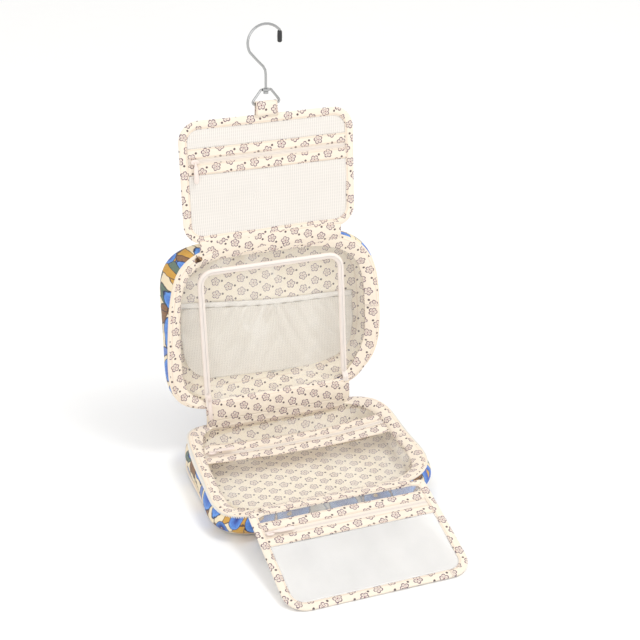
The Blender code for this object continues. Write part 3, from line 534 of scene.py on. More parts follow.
def rounded(x0, x1, y0, y1, low, high, steps=8):
    """Anticlockwise rounded rectangle from its lower right corner."""
    points = []
    for x, y, radius, start in ((x1, y0, low, -90), (x1, y1, high, 0), (x0, y1, high, 90), (x0, y0, low, 180)):
        cx = x - math.copysign(radius, x - (x0 + x1) / 2)
        cy = y - math.copysign(radius, y - (y0 + y1) / 2)
        for k in range(steps + 1):
            turn = math.radians(start + 90 * k / steps)
            points.append((cx + radius * math.cos(turn), cy + radius * math.sin(turn)))
    return points


def rim(inset, left=5.6, right=3.6, count=176):
    """The rim's outline, squarer at its left than at its right, as evenly spaced points."""
    a, b = HALF_X - inset, HALF_Y - inset
    points = []
    for k in range(RIM_SAMPLES):
        turn = 2 * math.pi * (k + 0.5) / RIM_SAMPLES
        c, s = math.cos(turn), math.sin(turn)
        power = right + (left - right) * (0.5 - 0.5 * math.copysign(min(1, abs(c) * 1.5), c))
        radius = (abs(c / a) ** power + abs(s / b) ** power) ** (-1 / power)
        points.append((radius * c, radius * s))
    return resample(points, count, closed=True)[0]


def smooth_profile(points, steps=5):
    """A Catmull-Rom curve through the profile's points."""
    points = np.asarray(points, float)
    padded = np.concatenate([[2 * points[0] - points[1]], points, [2 * points[-1] - points[-2]]])
    made = []
    for k in range(1, len(padded) - 2):
        p0, p1, p2, p3 = padded[k - 1:k + 3]
        for step in range(steps):
            t = step / steps
            made.append(0.5 * (2 * p1 + (p2 - p0) * t + (2 * p0 - 5 * p1 + 4 * p2 - p3) * t * t
                               + (3 * p1 - p0 - 3 * p2 + p3) * t ** 3))
    return np.array(made + [points[-1]])


def bowl(name, profile, thick, material, place, outlines, bend, stitched):
    """One layer of a case: rings along a profile of (inset, z), and a flat base, with its face outwards.
    The cloth's coordinates unfold the wall outwards from the base; stitched is how far down it is sewn."""
    _, outward = outwards(outlines(0), True)
    steps = np.concatenate([[0], np.cumsum(np.linalg.norm(np.diff(profile, axis=0), axis=1))])
    total = steps[-1]
    low_inset, low_z = profile[-1]
    foot = outlines(low_inset)
    rings, cloth = [], []

    def add(flat, z, unfolded, down):
        rings.append(np.column_stack([flat, np.full(len(flat), z)]))
        cloth.append(np.column_stack([unfolded, np.full(len(flat), down - stitched)]))

    for (inset, z), step in zip(profile, steps):
        add(outlines(inset), z, foot + outward * (total - step), step)
    for share in (0.12, 0.26, 0.42, 0.6, 0.78, 0.93):
        add(foot * (1 - share), low_z, foot * (1 - share), total)
    points = bend(np.array(rings))
    around = np.roll(points, -1, 1) - np.roll(points, 1, 1)
    rows, cols = points.shape[:2]
    count = rows * cols
    every = doubled(points, np.gradient(points, axis=0), around, thick)
    faces = []
    for i in range(rows - 1):
        for j in range(cols):
            k = (j + 1) % cols
            a, b, c, d = i * cols + j, i * cols + k, (i + 1) * cols + k, (i + 1) * cols + j
            faces.append((a, d, c, b))
            faces.append((count + a, count + b, count + c, count + d))
    for j in range(cols):
        k = (j + 1) % cols
        faces.append((j, k, count + k, count + j))
    last = (rows - 1) * cols
    faces.append(tuple(last + j for j in range(cols - 1, -1, -1)))
    faces.append(tuple(count + last + j for j in range(cols)))
    return build(name, every, faces, np.concatenate([np.array(cloth).reshape(-1, 3)] * 2), material, place)


def near(points, cx, cy, reach):
    """1 at a place in the plane, falling away over reach."""
    return np.exp(-((points[..., 0] - cx) ** 2 + (points[..., 1] - cy) ** 2) / reach ** 2)


def swell(bulges):
    """A bend that pushes the wall outwards between the rim and the base, by an amount near each place given."""
    def push(points):
        moved = np.array(points, float)
        x, y = moved[..., 0] / HALF_X, moved[..., 1] / HALF_Y
        steep = unit(np.stack([np.sign(part) * np.abs(part) ** 3.2 / half for part, half in ((x, HALF_X), (y, HALF_Y))],
                              axis=-1))
        side = np.clip((np.hypot(x, y) - 0.5) / 0.3, 0, 1)
        down = np.clip(-moved[..., 2] / CASE_DEPTH, 0, 1)
        amount = sum(most * near(points, cx, cy, reach) for cx, cy, most, reach in bulges)
        amount = amount * np.sin(np.clip(down * 1.12, 0, 1) * math.pi) ** 0.7 * side
        moved[..., :2] += steep * amount[..., None]
        return moved
    return push


def rim_share(points):
    """0 at the base and 1 at the rim."""
    return np.clip((points[..., 2] + CASE_DEPTH) / CASE_DEPTH, 0, 1.05)


def rim_bend(rises, pulls):
    """A bend for a soft rim. It lifts by an amount near each (x, y, amount, reach) of rises, then moves sideways
    near each (x, y, dx, dy, reach) of pulls, where the base and the middle stay."""
    def bend(points):
        moved = np.array(points, float)
        rise = sum(amount * near(points, cx, cy, reach) for cx, cy, amount, reach in rises)
        moved[..., 2] += rise * rim_share(points)
        power = 4.2
        out = (np.abs(moved[..., 0] / HALF_X) ** power + np.abs(moved[..., 1] / HALF_Y) ** power) ** (1 / power)
        share = rim_share(moved) ** 1.5 * np.clip((out - 0.8) / 0.12, 0, 1)
        moved[..., :2] += sum(np.array([dx, dy]) * (near(points, cx, cy, reach) * share)[..., None]
                              for cx, cy, dx, dy, reach in pulls)
        return moved
    return bend


# The lower rim sags at its front left corner and stands up at its rear corners; the upper one lifts at its top left
lower_bend = rim_bend(
    ((-122, -78, -6.5, 46), (-120, 74, 6, 38), (120, 76, 9, 48), (60, -98, -1.5, 50), (0, 98, -1.0, 60)),
    ((-125, 60, 9, -5, 50), (-131, -10, 7, 0, 50), (-118, -75, 5, 3, 40), (128, 10, -4, 0, 60)))
upper_bend = rim_bend(
    ((-118, 70, 2.0, 45), (112, 78, -3.5, 50), (-120, -70, -1.5, 40), (128, -20, 1.2, 60)),
    ((-120, 76, 10, -8, 44), (-131, 20, 4, 0, 50)))


def finished(piece, body, *replaced):
    """Says which body a piece rides on and which CAD nodes it replaces."""
    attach(piece, body)
    if replaced:
        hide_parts(*replaced)


def lay(name, points, cloth, thick, material, place, body, replaced, width, length, held, *rests_on):
    """A sheet laid on a body. width and length, the size of the flat piece it is cut from, are not used."""
    piece = sheet(name, points, cloth, thick, material, place)
    finished(piece, body, *replaced)


def band_grid(low, high, edge, nx, ny, z, swap=False, seam_in=None, offset=(0.0, 0.0)):
    """A grid between two heights. low and high are numbers or functions of x in -1..1, edge gives the half width
    at a height, and z gives the height out of the plane. swap lays the cloth's own x along y."""
    rows, cloth = [], []
    for i in range(ny + 1):
        row, coordinates = [], []
        for j in range(nx + 1):
            side = 2 * j / nx - 1
            y0 = low(side) if callable(low) else low
            y1 = high(side) if callable(high) else high
            y = y0 + (y1 - y0) * i / ny
            x = side * edge(y)
            row.append((x, y, 0))
            spot = (y, x) if swap else (x, y)
            seam = NO_SEAM if seam_in is None else min(y - y0, y1 - y) - seam_in
            coordinates.append((spot[0] + offset[0], spot[1] + offset[1], seam))
        rows.append(row)
        cloth.append(coordinates)
    points = np.array(rows, float)
    points[..., 2] = z(points)
    return points, np.array(cloth, float)


def panel_edge(half, low, high, low_radius, high_radius):
    """Half width of a rounded panel at a height."""
    def edge(y):
        for limit, radius in ((low, low_radius), (high, high_radius)):
            depth = radius - abs(y - limit)
            if depth > 0:
                return half - radius + math.sqrt(max(0, radius * radius - depth * depth))
        return half
    return edge


def rim_edge(inset):
    """Half width of the rim's outline at a height."""
    outline = rim(inset, 4.2, 4.2, 240)
    right = outline[outline[:, 0] > 0]
    right = right[np.argsort(right[:, 1])]
    return lambda y: float(np.interp(y, right[:, 1], right[:, 0]))


# A strip of folded cloth seen from its end: (outwards, height), with the outer fold round and the inner edge thin
BIND = [(-9.6, 0.75), (-9.4, -0.75), (-5, -1.35), (-1.2, -1.35), (-0.2, -0.8), (0, 0), (-0.2, 0.9), (-1.2, 1.5),
        (-5, 1.6), (-8.6, 1.25)]


def local_centre(node, place):
    """The middle of a CAD node in a plane's millimetres."""
    corners = [v.co for v in nodes[node].data.vertices]
    middle = sum(corners, Vector()) / len(corners)
    return place.inverted() @ middle / MM


def plate_mesh(outline, z0, z1, into, cut=0.35):
    """Adds a plate with its edges cut back to the points and faces of into."""
    points, faces = into
    start, n = len(points), len(outline)
    middle = np.mean(np.array(outline, float), axis=0)
    for share, z in ((1 - cut / 3, z0), (1, z0 + cut), (1, z1 - cut), (1 - cut / 3, z1)):
        for x, y in outline:
            points.append((middle[0] + (x - middle[0]) * share, middle[1] + (y - middle[1]) * share, z))
    faces.append(tuple(start + k for k in range(n - 1, -1, -1)))
    faces.append(tuple(start + 3 * n + k for k in range(n)))
    for ring in range(3):
        for k in range(n):
            q = (k + 1) % n
            a = start + ring * n
            faces.append((a + k, a + q, a + n + q, a + n + k))


def tube_mesh(path, radius, into):
    """Adds a round wire along 3D points."""
    points, faces = into
    start, n, sides = len(points), len(path), 8
    path = [Vector(p) for p in path]
    for i, p in enumerate(path):
        tangent = (path[min(i + 1, n - 1)] - path[max(i - 1, 0)]).normalized()
        side = tangent.cross(Vector((0, 1, 0.01))).normalized()
        other = side.cross(tangent)
        for k in range(sides):
            turn = 2 * math.pi * k / sides
            points.append(tuple(p + side * (radius * math.cos(turn)) + other * (radius * math.sin(turn))))
    for a in range(start, start + (n - 1) * sides, sides):
        for k in range(sides):
            q = (k + 1) % sides
            faces.append((a + k, a + sides + k, a + sides + q, a + q))
    faces.append(tuple(start + k for k in range(sides)))
    faces.append(tuple(start + (n - 1) * sides + k for k in range(sides - 1, -1, -1)))


def fixed_at(node, place, turn, bend):
    """A plane at the middle of a CAD node, moved as the rim is there, and turned about the face's normal."""
    centre = local_centre(node, place)
    flat = Vector((centre.x, centre.y, 0))
    centre += Vector(bend(np.array([[*flat]]))[0]) - flat
    return place @ Matrix.Translation(centre * MM) @ Matrix.Rotation(math.radians(turn), 4, "Z")


def zip_metal(name, into, material, at, node):
    """A slider or a pull from its points and faces; its body has its CAD node's name."""
    piece = build(name, np.array(into[0]), into[1], None, material, at)
    piece.data.set_sharp_from_angle(angle=math.radians(50))
    finished(piece, node, node)


def both_sides(half_outline):
    """An outline from the half of it below the x axis, mirrored."""
    return half_outline + [(x, -y) for x, y in reversed(half_outline)]


def zip_slider(name, node, place, turn, material=PINK_METAL, bend=level):
    """A slider: two waisted plates with a neck at one end, and a bridge for its pull."""
    waist = [(4.5, -1.5), (4.5, 1.5), (2.5, 2.9), (-1.0, 2.8), (-3.2, 2.2), (-4.4, 1.2), (-4.4, -1.2), (-3.2, -2.2),
             (-1.0, -2.8), (2.5, -2.9)]
    into = ([], [])
    plate_mesh(waist, -1.1, -0.25, into)
    plate_mesh(waist, 0.1, 0.85, into)
    plate_mesh([(4.0, -0.7), (4.0, 0.7), (2.2, 0.7), (2.2, -0.7)], -0.4, 0.3, into, 0.1)
    tube_mesh([(-2.8, 0, 0.7), (-2.4, 0, 1.3), (-0.8, 0, 1.55), (1.4, 0, 1.5), (2.6, 0, 0.7)], 0.42, into)
    zip_metal(name, into, material, fixed_at(node, place, turn, bend), node)


def zip_pull(name, node, place, turn, length=24, width=5.4, material=PINK_METAL, hang=False, bend=level):
    """A flat pull with a waisted head, a ridge and a rounded end, from its hinge outwards."""
    at = fixed_at(node, place, turn, bend)
    if hang:
        at = at @ Matrix.Rotation(math.radians(90), 4, "Y")
    start, end, half = -length / 2, length / 2, width / 2
    into = ([], [])
    plate_mesh(both_sides([(start + 0.4, -half * 0.45), (start + 3.6, -half * 0.5), (start + 5.5, -half * 0.9),
                           (end - 2.2, -half), (end - 0.7, -half * 0.72), (end, -half * 0.25)]), -0.5, 0.5, into, 0.25)
    plate_mesh([(start + 8, -half * 0.55), (end - 3, -half * 0.6), (end - 2, 0), (end - 3, half * 0.6),
                (start + 8, half * 0.55)], 0.3, 0.72, into, 0.15)
    zip_metal(name, into, material, at, node)


def panel_waves(size, most, seed, fine):
    """A panel's slow wave, as a bend for its binding and as heights for its sheets, which have a finer wave too."""
    def wavy(points):
        moved = np.array(points, float)
        moved[..., 2] += ripple(moved[..., :2], size, most, seed)
        return moved

    def height(base, amount, own_seed):
        return lambda p: base + ripple(p[..., :2], fine, amount, own_seed) + ripple(p[..., :2], size, most, seed)

    return wavy, height


def panel_bands(zones, edge, height, seed, thick, stitched, print_at, zip_at, zip_y, place, body, binding):
    """A panel's windows, strips and zip tape. print_at says where the print starts across the first band, how much
    further across each next one, and where along them; zip_at says it for the zip tape alone."""
    first, step, along = print_at
    for index, (name, low, high, material, node, z, amount) in enumerate(zones):
        is_zip, is_strip = material is ZIP_PALE, material is LINING
        points, cloth = band_grid(low, high, edge, 72, 28 if high - low > 40 else 8, height(z, amount, seed),
                                  is_zip or is_strip, stitched if is_strip else None,
                                  zip_at if is_zip else (first + index * step, along))
        if is_zip:
            cloth[..., 2] = points[..., 1] - zip_y
        lay(name, points, cloth, thick, material, place, body, [node], PANEL_SHEET, high - low, "stretched", binding)


# ---------------------------------------------------------------- hook and ring: the CAD's own shapes

for node in ("hook_wire", "hanger_ring", "ring_bush"):
    nodes[node].data.materials[0] = STEEL
nodes["hook_tip"].data.materials[0] = TIP


# ---------------------------------------------------------------- top panel

def build_top_panel():
    outline = rounded(-PANEL_HALF, PANEL_HALF, PANEL_BOTTOM, PANEL_TOP, 24, 24)
    wavy, height = panel_waves(90, 1.1, 3, 38)
    binding = sweep("top_binding", outline, BIND, LINING, PANEL, closed=True, count=220, cloth_at=(-4.2, -1), seam=-8.2,
                    bend=wavy)
    finished(binding, "top_panel", "top_panel_binding")
    edge = panel_edge(94.5, PANEL_BOTTOM + 5.5, PANEL_TOP - 9.0, 15, 15)
    zones = (("top_net_upper", -43.0, -20.5, NET, "top_panel_mesh_upper", 0.45, 0.3),
             ("top_strip_upper", -53.9, -42.4, LINING, "top_panel_strip_upper", 0.75, 0.2),
             ("top_zip", -62.4, -51.5, ZIP_PALE, "top_panel_zip", 0.15, 0.2),
             ("top_strip_lower", -72.6, -60.0, LINING, "top_panel_strip_lower", 0.75, 0.2),
             ("top_net_lower", PANEL_BOTTOM + 5.4, -72.0, NET, "top_panel_mesh_lower", 0.45, 0.7))
    panel_bands(zones, edge, height, 11, 0.45, 1.2, (5.2, 3.1, 2.0), (5.2 + 2 * 3.1, 2.0), TOP_ZIP_Y,
                PANEL, "top_panel", "top_binding")
    points, cloth = band_grid(PANEL_BOTTOM + 5.4, -20.5, edge, 60, 40, height(-0.35, 0.4, 5))
    lay("top_net_back", points, cloth, 0.4, NET, PANEL, "top_panel", ["top_panel_back_mesh"], PANEL_SHEET, 127,
        "stretched", "top_binding")

    # The tab, seen from its end: over the ring's bar and back down on both sides of the binding
    profile = [(-12.5, -2.0), (-9.0, -2.1), (-4, -2.3), (-1, -2.6), (1.4, -2.3), (2.6, -0.9), (2.6, 0.9), (1.4, 2.5),
               (-1, 2.8), (-4, 2.5), (-9, 2.3), (-13.5, 2.1)]
    rows, cloth = [], []
    xs = np.linspace(-TAB_WIDTH / 2, TAB_WIDTH / 2, 14)
    far = 0.0
    for k, (y, z) in enumerate(profile):
        if k:
            far += math.dist(profile[k - 1], (y, z))
        flare = 1.0 + 0.05 * max(0, -y - 4) / 8
        rows.append([(x * flare, y, z) for x in xs])
        cloth.append([(far + 6.0, x, abs(x) - 11.2) for x in xs])
    lay("tab_loop", np.array(rows), np.array(cloth), 0.6, LINING, PANEL, "top_panel", ["hanger_tab"], TAB_WIDTH, 36,
        "folded", "hanger_ring")
    zip_slider("top_slider", "top_panel_slider", PANEL, 180)
    zip_pull("top_pull", "top_panel_pull", PANEL, -90)


build_top_panel()


# ---------------------------------------------------------------- half cases

def wall(depth, start):
    """The case's wall moved inwards, from height start down to the base."""
    profile = np.array(CASE_PROFILE, float)
    tangent, _ = outwards(profile)
    inwards = np.column_stack([-tangent[:, 1], tangent[:, 0]])
    moved = profile + inwards * depth
    moved[-1] = (profile[-1][0], profile[-1][1] + depth)
    curve = smooth_profile(moved)
    kept = curve[curve[:, 1] < start]
    first = np.array([[np.interp(-start, -curve[:, 1], curve[:, 0]), start]])
    return np.concatenate([first, kept])


def open_rim(inset, hinge_side, reach):
    """The rim's outline without the stretch within reach of the middle of its hinge side."""
    outline = rim(inset)
    keep = [p for p in outline if not (p[1] * hinge_side > 40 and abs(p[0]) < reach)]
    turn = [(math.atan2(p[0] * hinge_side, -p[1] * hinge_side) * hinge_side, tuple(p)) for p in keep]
    return [p for _, p in sorted(turn)]


def build_case(prefix, body, place, bend, bulges, hinge_side, right, print_shift=None):
    """A half case without its cover. right is how square the rim's right side is, hinge_side is the sign of y at
    the fabric hinge, and print_shift moves the facing's print by an amount at each y."""
    push = swell(bulges)

    def outlines(inset):
        return rim(inset, 5.6, right)

    def swollen(points):
        return bend(push(points))

    outer = bowl(prefix + "_outer_cloth", wall(0.0, -0.6), 1.1, OUTER, place, outlines, swollen, 28.0)
    finished(outer, body, prefix + "_case_shell")

    def soft(points):
        moved = bend(points)
        inner = points[..., 2] < -20
        moved[..., 2] += np.where(inner, np.abs(ripple(points[..., :2], 34, 0.9, 21)), 0)
        return moved

    inside = bowl(prefix + "_inside_cloth", wall(5.2, -3.2), 0.6, LINING_INSIDE_BRIGHTENED, place, outlines, soft, 30.0)
    finished(inside, body, prefix + "_case_lining", prefix + "_case_padding")
    facing = [(-15.4, -4.3), (-15.3, -5.1), (-10, -2.5), (-5, -0.8), (-1.2, -0.5), (0.3, -1.3), (0.7, -0.4), (0.3, 0.5),
              (-1.4, 1.05), (-5, 0.75), (-10, -1.2)]

    def soft_rim(points):
        narrow = np.array(points, float)
        edge = hinge_side * HALF_Y
        wide = 0.3 + 0.7 * np.clip((np.abs(points[..., 0]) - 82) / 36, 0, 1)
        wide = 1 - (1 - wide) * np.clip((points[..., 1] * hinge_side - 56) / 26, 0, 1)
        narrow[..., 1] = edge + (points[..., 1] - edge) * wide
        narrow[..., 2] *= np.where(points[..., 2] < 0, wide, 1.0)
        moved = bend(narrow)
        moved[..., 2] += ripple(points[..., :2], 26, 0.35, 8)
        return moved

    ring = sweep(prefix + "_facing", outlines(0), facing, LINING, place, closed=True, count=260, cloth_at=(-5.6, -1),
                 seam=-2.2, bend=soft_rim)
    if print_shift:
        read = ring.data.attributes["cloth"].data
        values = np.empty(len(read) * 3, np.float32)
        read.foreach_get("vector", values)
        values = values.reshape(-1, 3)
        ys = np.array([((place.inverted() @ v.co) / MM).y for v in ring.data.vertices])
        values[:, 0] += print_shift(ys)
        read.foreach_set("vector", values.ravel())
    finished(ring, body, prefix + "_rim_facing")
    piping = sweep(prefix + "_piping", outlines(0), circle(1.5, 10, 0.9, -0.9), PIPING, place, closed=True,
                   count=260, bend=bend)
    finished(piping, body)
    base = sweep(prefix + "_base_piping", outlines(5.2), circle(1.5, 8, 0.9, -28.6), PIPING, place, closed=True,
                 count=220, bend=swollen)
    finished(base, body)
    path = open_rim(0, hinge_side, 104)
    tape = sweep(prefix + "_zip_tape", path, [(1.3, -6.2), (2.5, -5.8), (3.1, -3.2), (2.2, -2.2), (1.3, -2.8)],
                 MAIN_TAPE, place, count=200, bend=bend)
    finished(tape, body, prefix + "_main_zip")
    tooth = ((1.9, -2.4), (3.8, -2.2), (4.5, -0.7), (3.8, 0.2), (2.3, -0.2))
    sides = len(tooth)
    points, faces = [], []
    line, _ = resample(path, 330)
    for middle, tangent, outward in zip(line, *outwards(line)):
        start = len(points)
        for out, up in tooth:
            for step in (-0.45, 0.45):
                points.append((*(middle + outward * out + tangent * step), up))
        for k in range(sides):
            q = (k + 1) % sides
            faces.append((start + 2 * k, start + 2 * q, start + 2 * q + 1, start + 2 * k + 1))
        faces.append(tuple(start + 2 * k for k in range(sides - 1, -1, -1)))
        faces.append(tuple(start + 2 * k + 1 for k in range(sides)))
    teeth = build(prefix + "_zip_teeth", bend(np.array(points)), faces, None, TEETH, place)
    teeth.data.shade_flat()
    finished(teeth, body)


def cover_wrinkles(points, seed, amount):
    """Heights of a loosely held clear sheet."""
    flat = points[..., :2]
    return ripple(flat * np.array([1.0, 0.55]), 22, 0.9 * amount, seed) + ripple(flat, 60, 1.4 * amount, seed + 1)


def door_line(offset, bottom):
    """The door's upside-down U, moved outwards by offset."""
    steps = 10
    half, top, radius = DOOR_HALF + offset, DOOR_TOP + offset, 15 + offset
    points = [(-half, bottom)]
    for k in range(steps + 1):
        turn = math.radians(180 - 90 * k / steps)
        points.append((-half + radius + radius * math.cos(turn), top - radius + radius * math.sin(turn)))
    return points + [(-x, y) for x, y in reversed(points)]


def build_upper():
    bulges = ((-131, 62, 3.5, 55), (-100, 98, 3.0, 45), (-131, -45, 1.5, 55), (131, 50, 3, 55), (100, 98, 2.5, 45),
              (131, -50, 2, 50), (0, 98, 1.5, 80))
    build_case("upper", "upper_case", UPPER, upper_bend, bulges, -1, 3.3)

    # The clear cover: rows from the door's zip out to the rim, between two feet beside the door
    foot_x, foot_y = 87.4, -83.4
    outer_line, _ = resample([(-foot_x, foot_y)] + open_rim(11.6, -1, 87) + [(foot_x, foot_y)], 150)
    inner_line, _ = resample(door_line(0.4, foot_y), 150)
    shares = np.linspace(0, 1, 8)[:, None]
    flat = inner_line * (1 - shares[..., None]) + outer_line * shares[..., None]
    points = np.concatenate([flat, flat[..., :1] * 0], axis=2)
    inner = np.sin(np.linspace(0, math.pi, 8))[:, None]
    tuck = shares ** 3
    points[..., 2] = (COVER_Z + cover_wrinkles(points, 31, 1.0) * (0.5 + 1.3 * near(points, 96, 70, 45)) * (0.3 + inner)
                      * (1 - tuck) - 1.1 * tuck)
    cloth = np.concatenate([flat, flat[..., :1] * 0 + NO_SEAM], axis=2)
    lay("cover_round_door", upper_bend(points), cloth, CLEAR_THICK, CLEAR, UPPER, "upper_case", ["upper_clear_cover"],
        232, 168, "stretched", "upper_facing")

    def foot_height(p):
        return COVER_Z + 0.2 + cover_wrinkles(p, 31, 0.5) + 2.2 * np.clip((-84 - p[..., 1]) / 9, 0, 1)

    points, cloth = band_grid(-94.5, DOOR_BOTTOM - 0.6, lambda y: 88.0, 60, 8, foot_height)
    lay("cover_under_door", points, cloth, CLEAR_THICK, CLEAR, UPPER, "upper_case", [], 176, 15.1, "stretched",
        "upper_facing")

    edge = panel_edge(DOOR_HALF - 0.3, -999, DOOR_TOP - 0.3, 1, 15)
    points, cloth = band_grid(DOOR_BOTTOM, DOOR_TOP - 0.4, edge, 80, 64,
                              lambda p: COVER_Z + 0.5 + cover_wrinkles(p, 47, 0.55))
    lay("door_sheet", points, cloth, CLEAR_THICK, CLEAR, UPPER, "door", ["clear_door"], 173, 147, "stretched",
        "door_zip_door_side")
    bead = [(0.15, -5.2), (3.5, -5.3), (3.9, -4.2), (3.0, -2.4), (1.6, -1.3), (0.15, -1.1)]
    mirrored = [(-out, up) for out, up in reversed(bead)]
    for side, section, body in (("case", mirrored, "upper_case"), ("door", bead, "door")):
        half = sweep("door_zip_%s_side" % side, door_line(0, DOOR_BOTTOM), section, ZIP, UPPER, count=190, seam=0)
        finished(half, body, "door_zip_outer" if side == "case" else "door_zip_inner")

    def over_rim(line):
        share = np.clip((-79.5 - line[:, 1]) / 8, 0, 1)
        return share * share * (3 - 2 * share) * 4.9 - np.clip((-96 - line[:, 1]) / 9, 0, 1) ** 2 * 4.5

    end_section = [(-3.6, -4.6), (3.6, -4.6), (3.6, -4.0), (2.0, -3.0), (-2.0, -3.0), (-3.6, -4.0)]
    for side, x, reach in (("left", -86.9, -105), ("right", 86.9, -92)):
        tail = sweep("door_zip_end_" + side, [(x, DOOR_BOTTOM - 0.3), (x, reach)], end_section, ZIP, UPPER, count=24,
                     seam=0, lift=over_rim)
        finished(tail, "upper_case")

    # The mesh pocket: its top slopes down to the right, and its gathers fade downwards
    pocket_edge = rim_edge(23.5)

    def slope(side):
        return 13.0 - 7.0 * side

    def pocket_top(side):
        return slope(side) - 1.5 * math.cos(side * math.pi)

    def folds(points):
        x, y = points[..., 0], points[..., 1]
        down = slope(x / 108) - y
        lean = x + 0.55 * down * np.where(x > 10, -1, 1)
        fade = np.exp(-down / 46) * np.clip((y + 74) / 20, 0, 1)
        fold = np.sin(lean / 3.2 + 2.4 * np.sin(x / 26)) * 1.9 * fade
        return -25.2 + fold + np.abs(ripple(points[..., :2], 30, 1.0, 13)) + 1.4 * fade

    def elastic_height(p):
        return -24.4 + np.sin(p[..., 0] / 1.45) * 0.28 + ripple(p[..., :2], 30, 0.5, 13)

    points, cloth = band_grid(lambda side: -74 - 3.5 * side, pocket_top, pocket_edge, 150, 44, folds)
    pocket = sheet("pocket_net_sheet", points, cloth, 0.4, POCKET_NET, UPPER)
    finished(pocket, "upper_case", "mesh_pocket")
    points, cloth = band_grid(pocket_top, lambda side: pocket_top(side) + 6.4, pocket_edge, 150, 4, elastic_height,
                              seam_in=1.6)
    elastic = sheet("pocket_elastic_band", points, cloth, 1.1, ELASTIC, UPPER)
    finished(elastic, "upper_case", "pocket_elastic")

    zip_slider("door_slider_body", "door_slider", UPPER, 90)
    zip_pull("door_pull_tab", "door_pull", UPPER, -90)
    zip_slider("main_slider", "main_zip_slider", UPPER, 16, BRONZE, upper_bend)
    zip_pull("main_pull", "main_zip_pull", UPPER, 16, 20, 5, BRONZE, True, upper_bend)


build_upper()


def build_lower():
    bulges = ((-131, -62, 3.5, 55), (-100, -98, 7, 50), (0, -98, 7, 60), (100, -98, 5, 50), (131, -60, 3, 55),
              (131, 40, 2, 50), (-131, 40, 0.5, 50))

    def print_shift(y):
        return 7.75 * np.clip((y + 88) / 30, 0, 1)

    build_case("lower", "lower_case", LOWER, lower_bend, bulges, 1, 3.9, print_shift)
    edge = rim_edge(14.7)

    def rear(side):
        return 53.5 - 3.0 * side

    def front(side):
        return 17.5 - 3.0 * side - 2.0 * (1 - side * side)

    zones = (("cover_rear_sheet", rear, 94.0, 43.5, CLEAR, "lower_cover_rear", 14, 0.9),
             ("cover_rear_strip", 39.4, rear, 17.2, LINING, "lower_cover_strip_rear", 6, 0.25),
             ("cover_zip_tape", 29.9, 41.6, 11.8, ZIP_PALE, "lower_cover_zip", 6, 0.2),
             ("cover_front_strip", front, 32.1, 19.0, LINING, "lower_cover_strip_front", 6, 0.25),
             ("cover_front_sheet", -83.0, front, 104.0, CLEAR, "lower_cover_front", 40, 1.0))
    for index, (name, low, high, longest, material, node, ny, amount) in enumerate(zones):
        is_clear, is_zip, is_strip = material is CLEAR, material is ZIP_PALE, material is LINING
        lift = 0.25 if is_zip else 0.8 if is_strip else 0.0

        def height(p):
            across, along = (np.cos(np.clip(p[..., k] / half, -1, 1) * math.pi / 2) for k, half in ((0, 118), (1, 84)))
            return COVER_Z + lift + -2.2 * across * along + cover_wrinkles(p, 61 if is_clear else 5, amount)

        points, cloth = band_grid(low, high, edge, 90, ny, height, is_zip or is_strip, 1.3 if is_strip else None,
                                  (0.0, 0.0) if is_zip else (-46.8 + index * 4.0, 3.0))
        if is_zip:
            cloth[..., 2] = points[..., 1] - COVER_ZIP_Y
        lay(name, lower_bend(points), cloth, CLEAR_THICK if is_clear else 0.5, material, LOWER, "lower_case", [node],
            2 * edge(0), longest, "stretched", "lower_facing")
    zip_slider("cover_slider", "lower_cover_slider", LOWER, 180)
    zip_pull("cover_pull", "lower_cover_pull", LOWER, 0)


build_lower()


# ---------------------------------------------------------------- cloth that crosses a joint

def strip_across(name, curve, half, count, material, offset, wave, seam_in, part):
    """A strip of cloth along X whose middle follows world (y, z) points downwards, from the back of its face.
    part says which of its rows are in this piece, so that a strip in two pieces meets exactly."""
    curve, along = resample(curve, CURVE_ROWS + 1)
    total = along[-1]
    xs = np.linspace(-half, half, count)
    points = np.array([[(x, y, z) for x in xs] for y, z in curve])
    cloth = np.array([[(far + offset, x, min(far, total - far) - seam_in) for x in xs] for far in along])
    flat = np.stack([points[..., 0], np.repeat(along[:, None], count, axis=1)], axis=2)
    points[..., 1] += ripple(flat, 40, wave, 7) * np.sin(np.linspace(0, math.pi, len(curve)))[:, None]
    first, last = part
    chosen = slice(first, last + 1)
    piece = sheet(name, points[chosen][::-1], cloth[chosen][::-1], 0.7, material, Matrix.Identity(4))
    return piece, along[last] - along[first]


def joint_cloth(name, strip, part, node):
    """Part of a strip that runs from one world (y, z) point to another; it hides the CAD node it replaces."""
    piece, length = strip_across(name, *strip, part)
    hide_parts(node)
    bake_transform(piece)


def on_plane(place, y, z):
    """A point on a part's plane as (y, z) in the world's millimetres."""
    found = place @ Vector((0, y * MM, z * MM)) / MM
    return found.y, found.z


def curve_through(*points):
    """A smooth curve through points that are (plane, y, z), or (y, z) in the world."""
    return smooth_profile([on_plane(*point) if len(point) == 3 else point for point in points], 6)


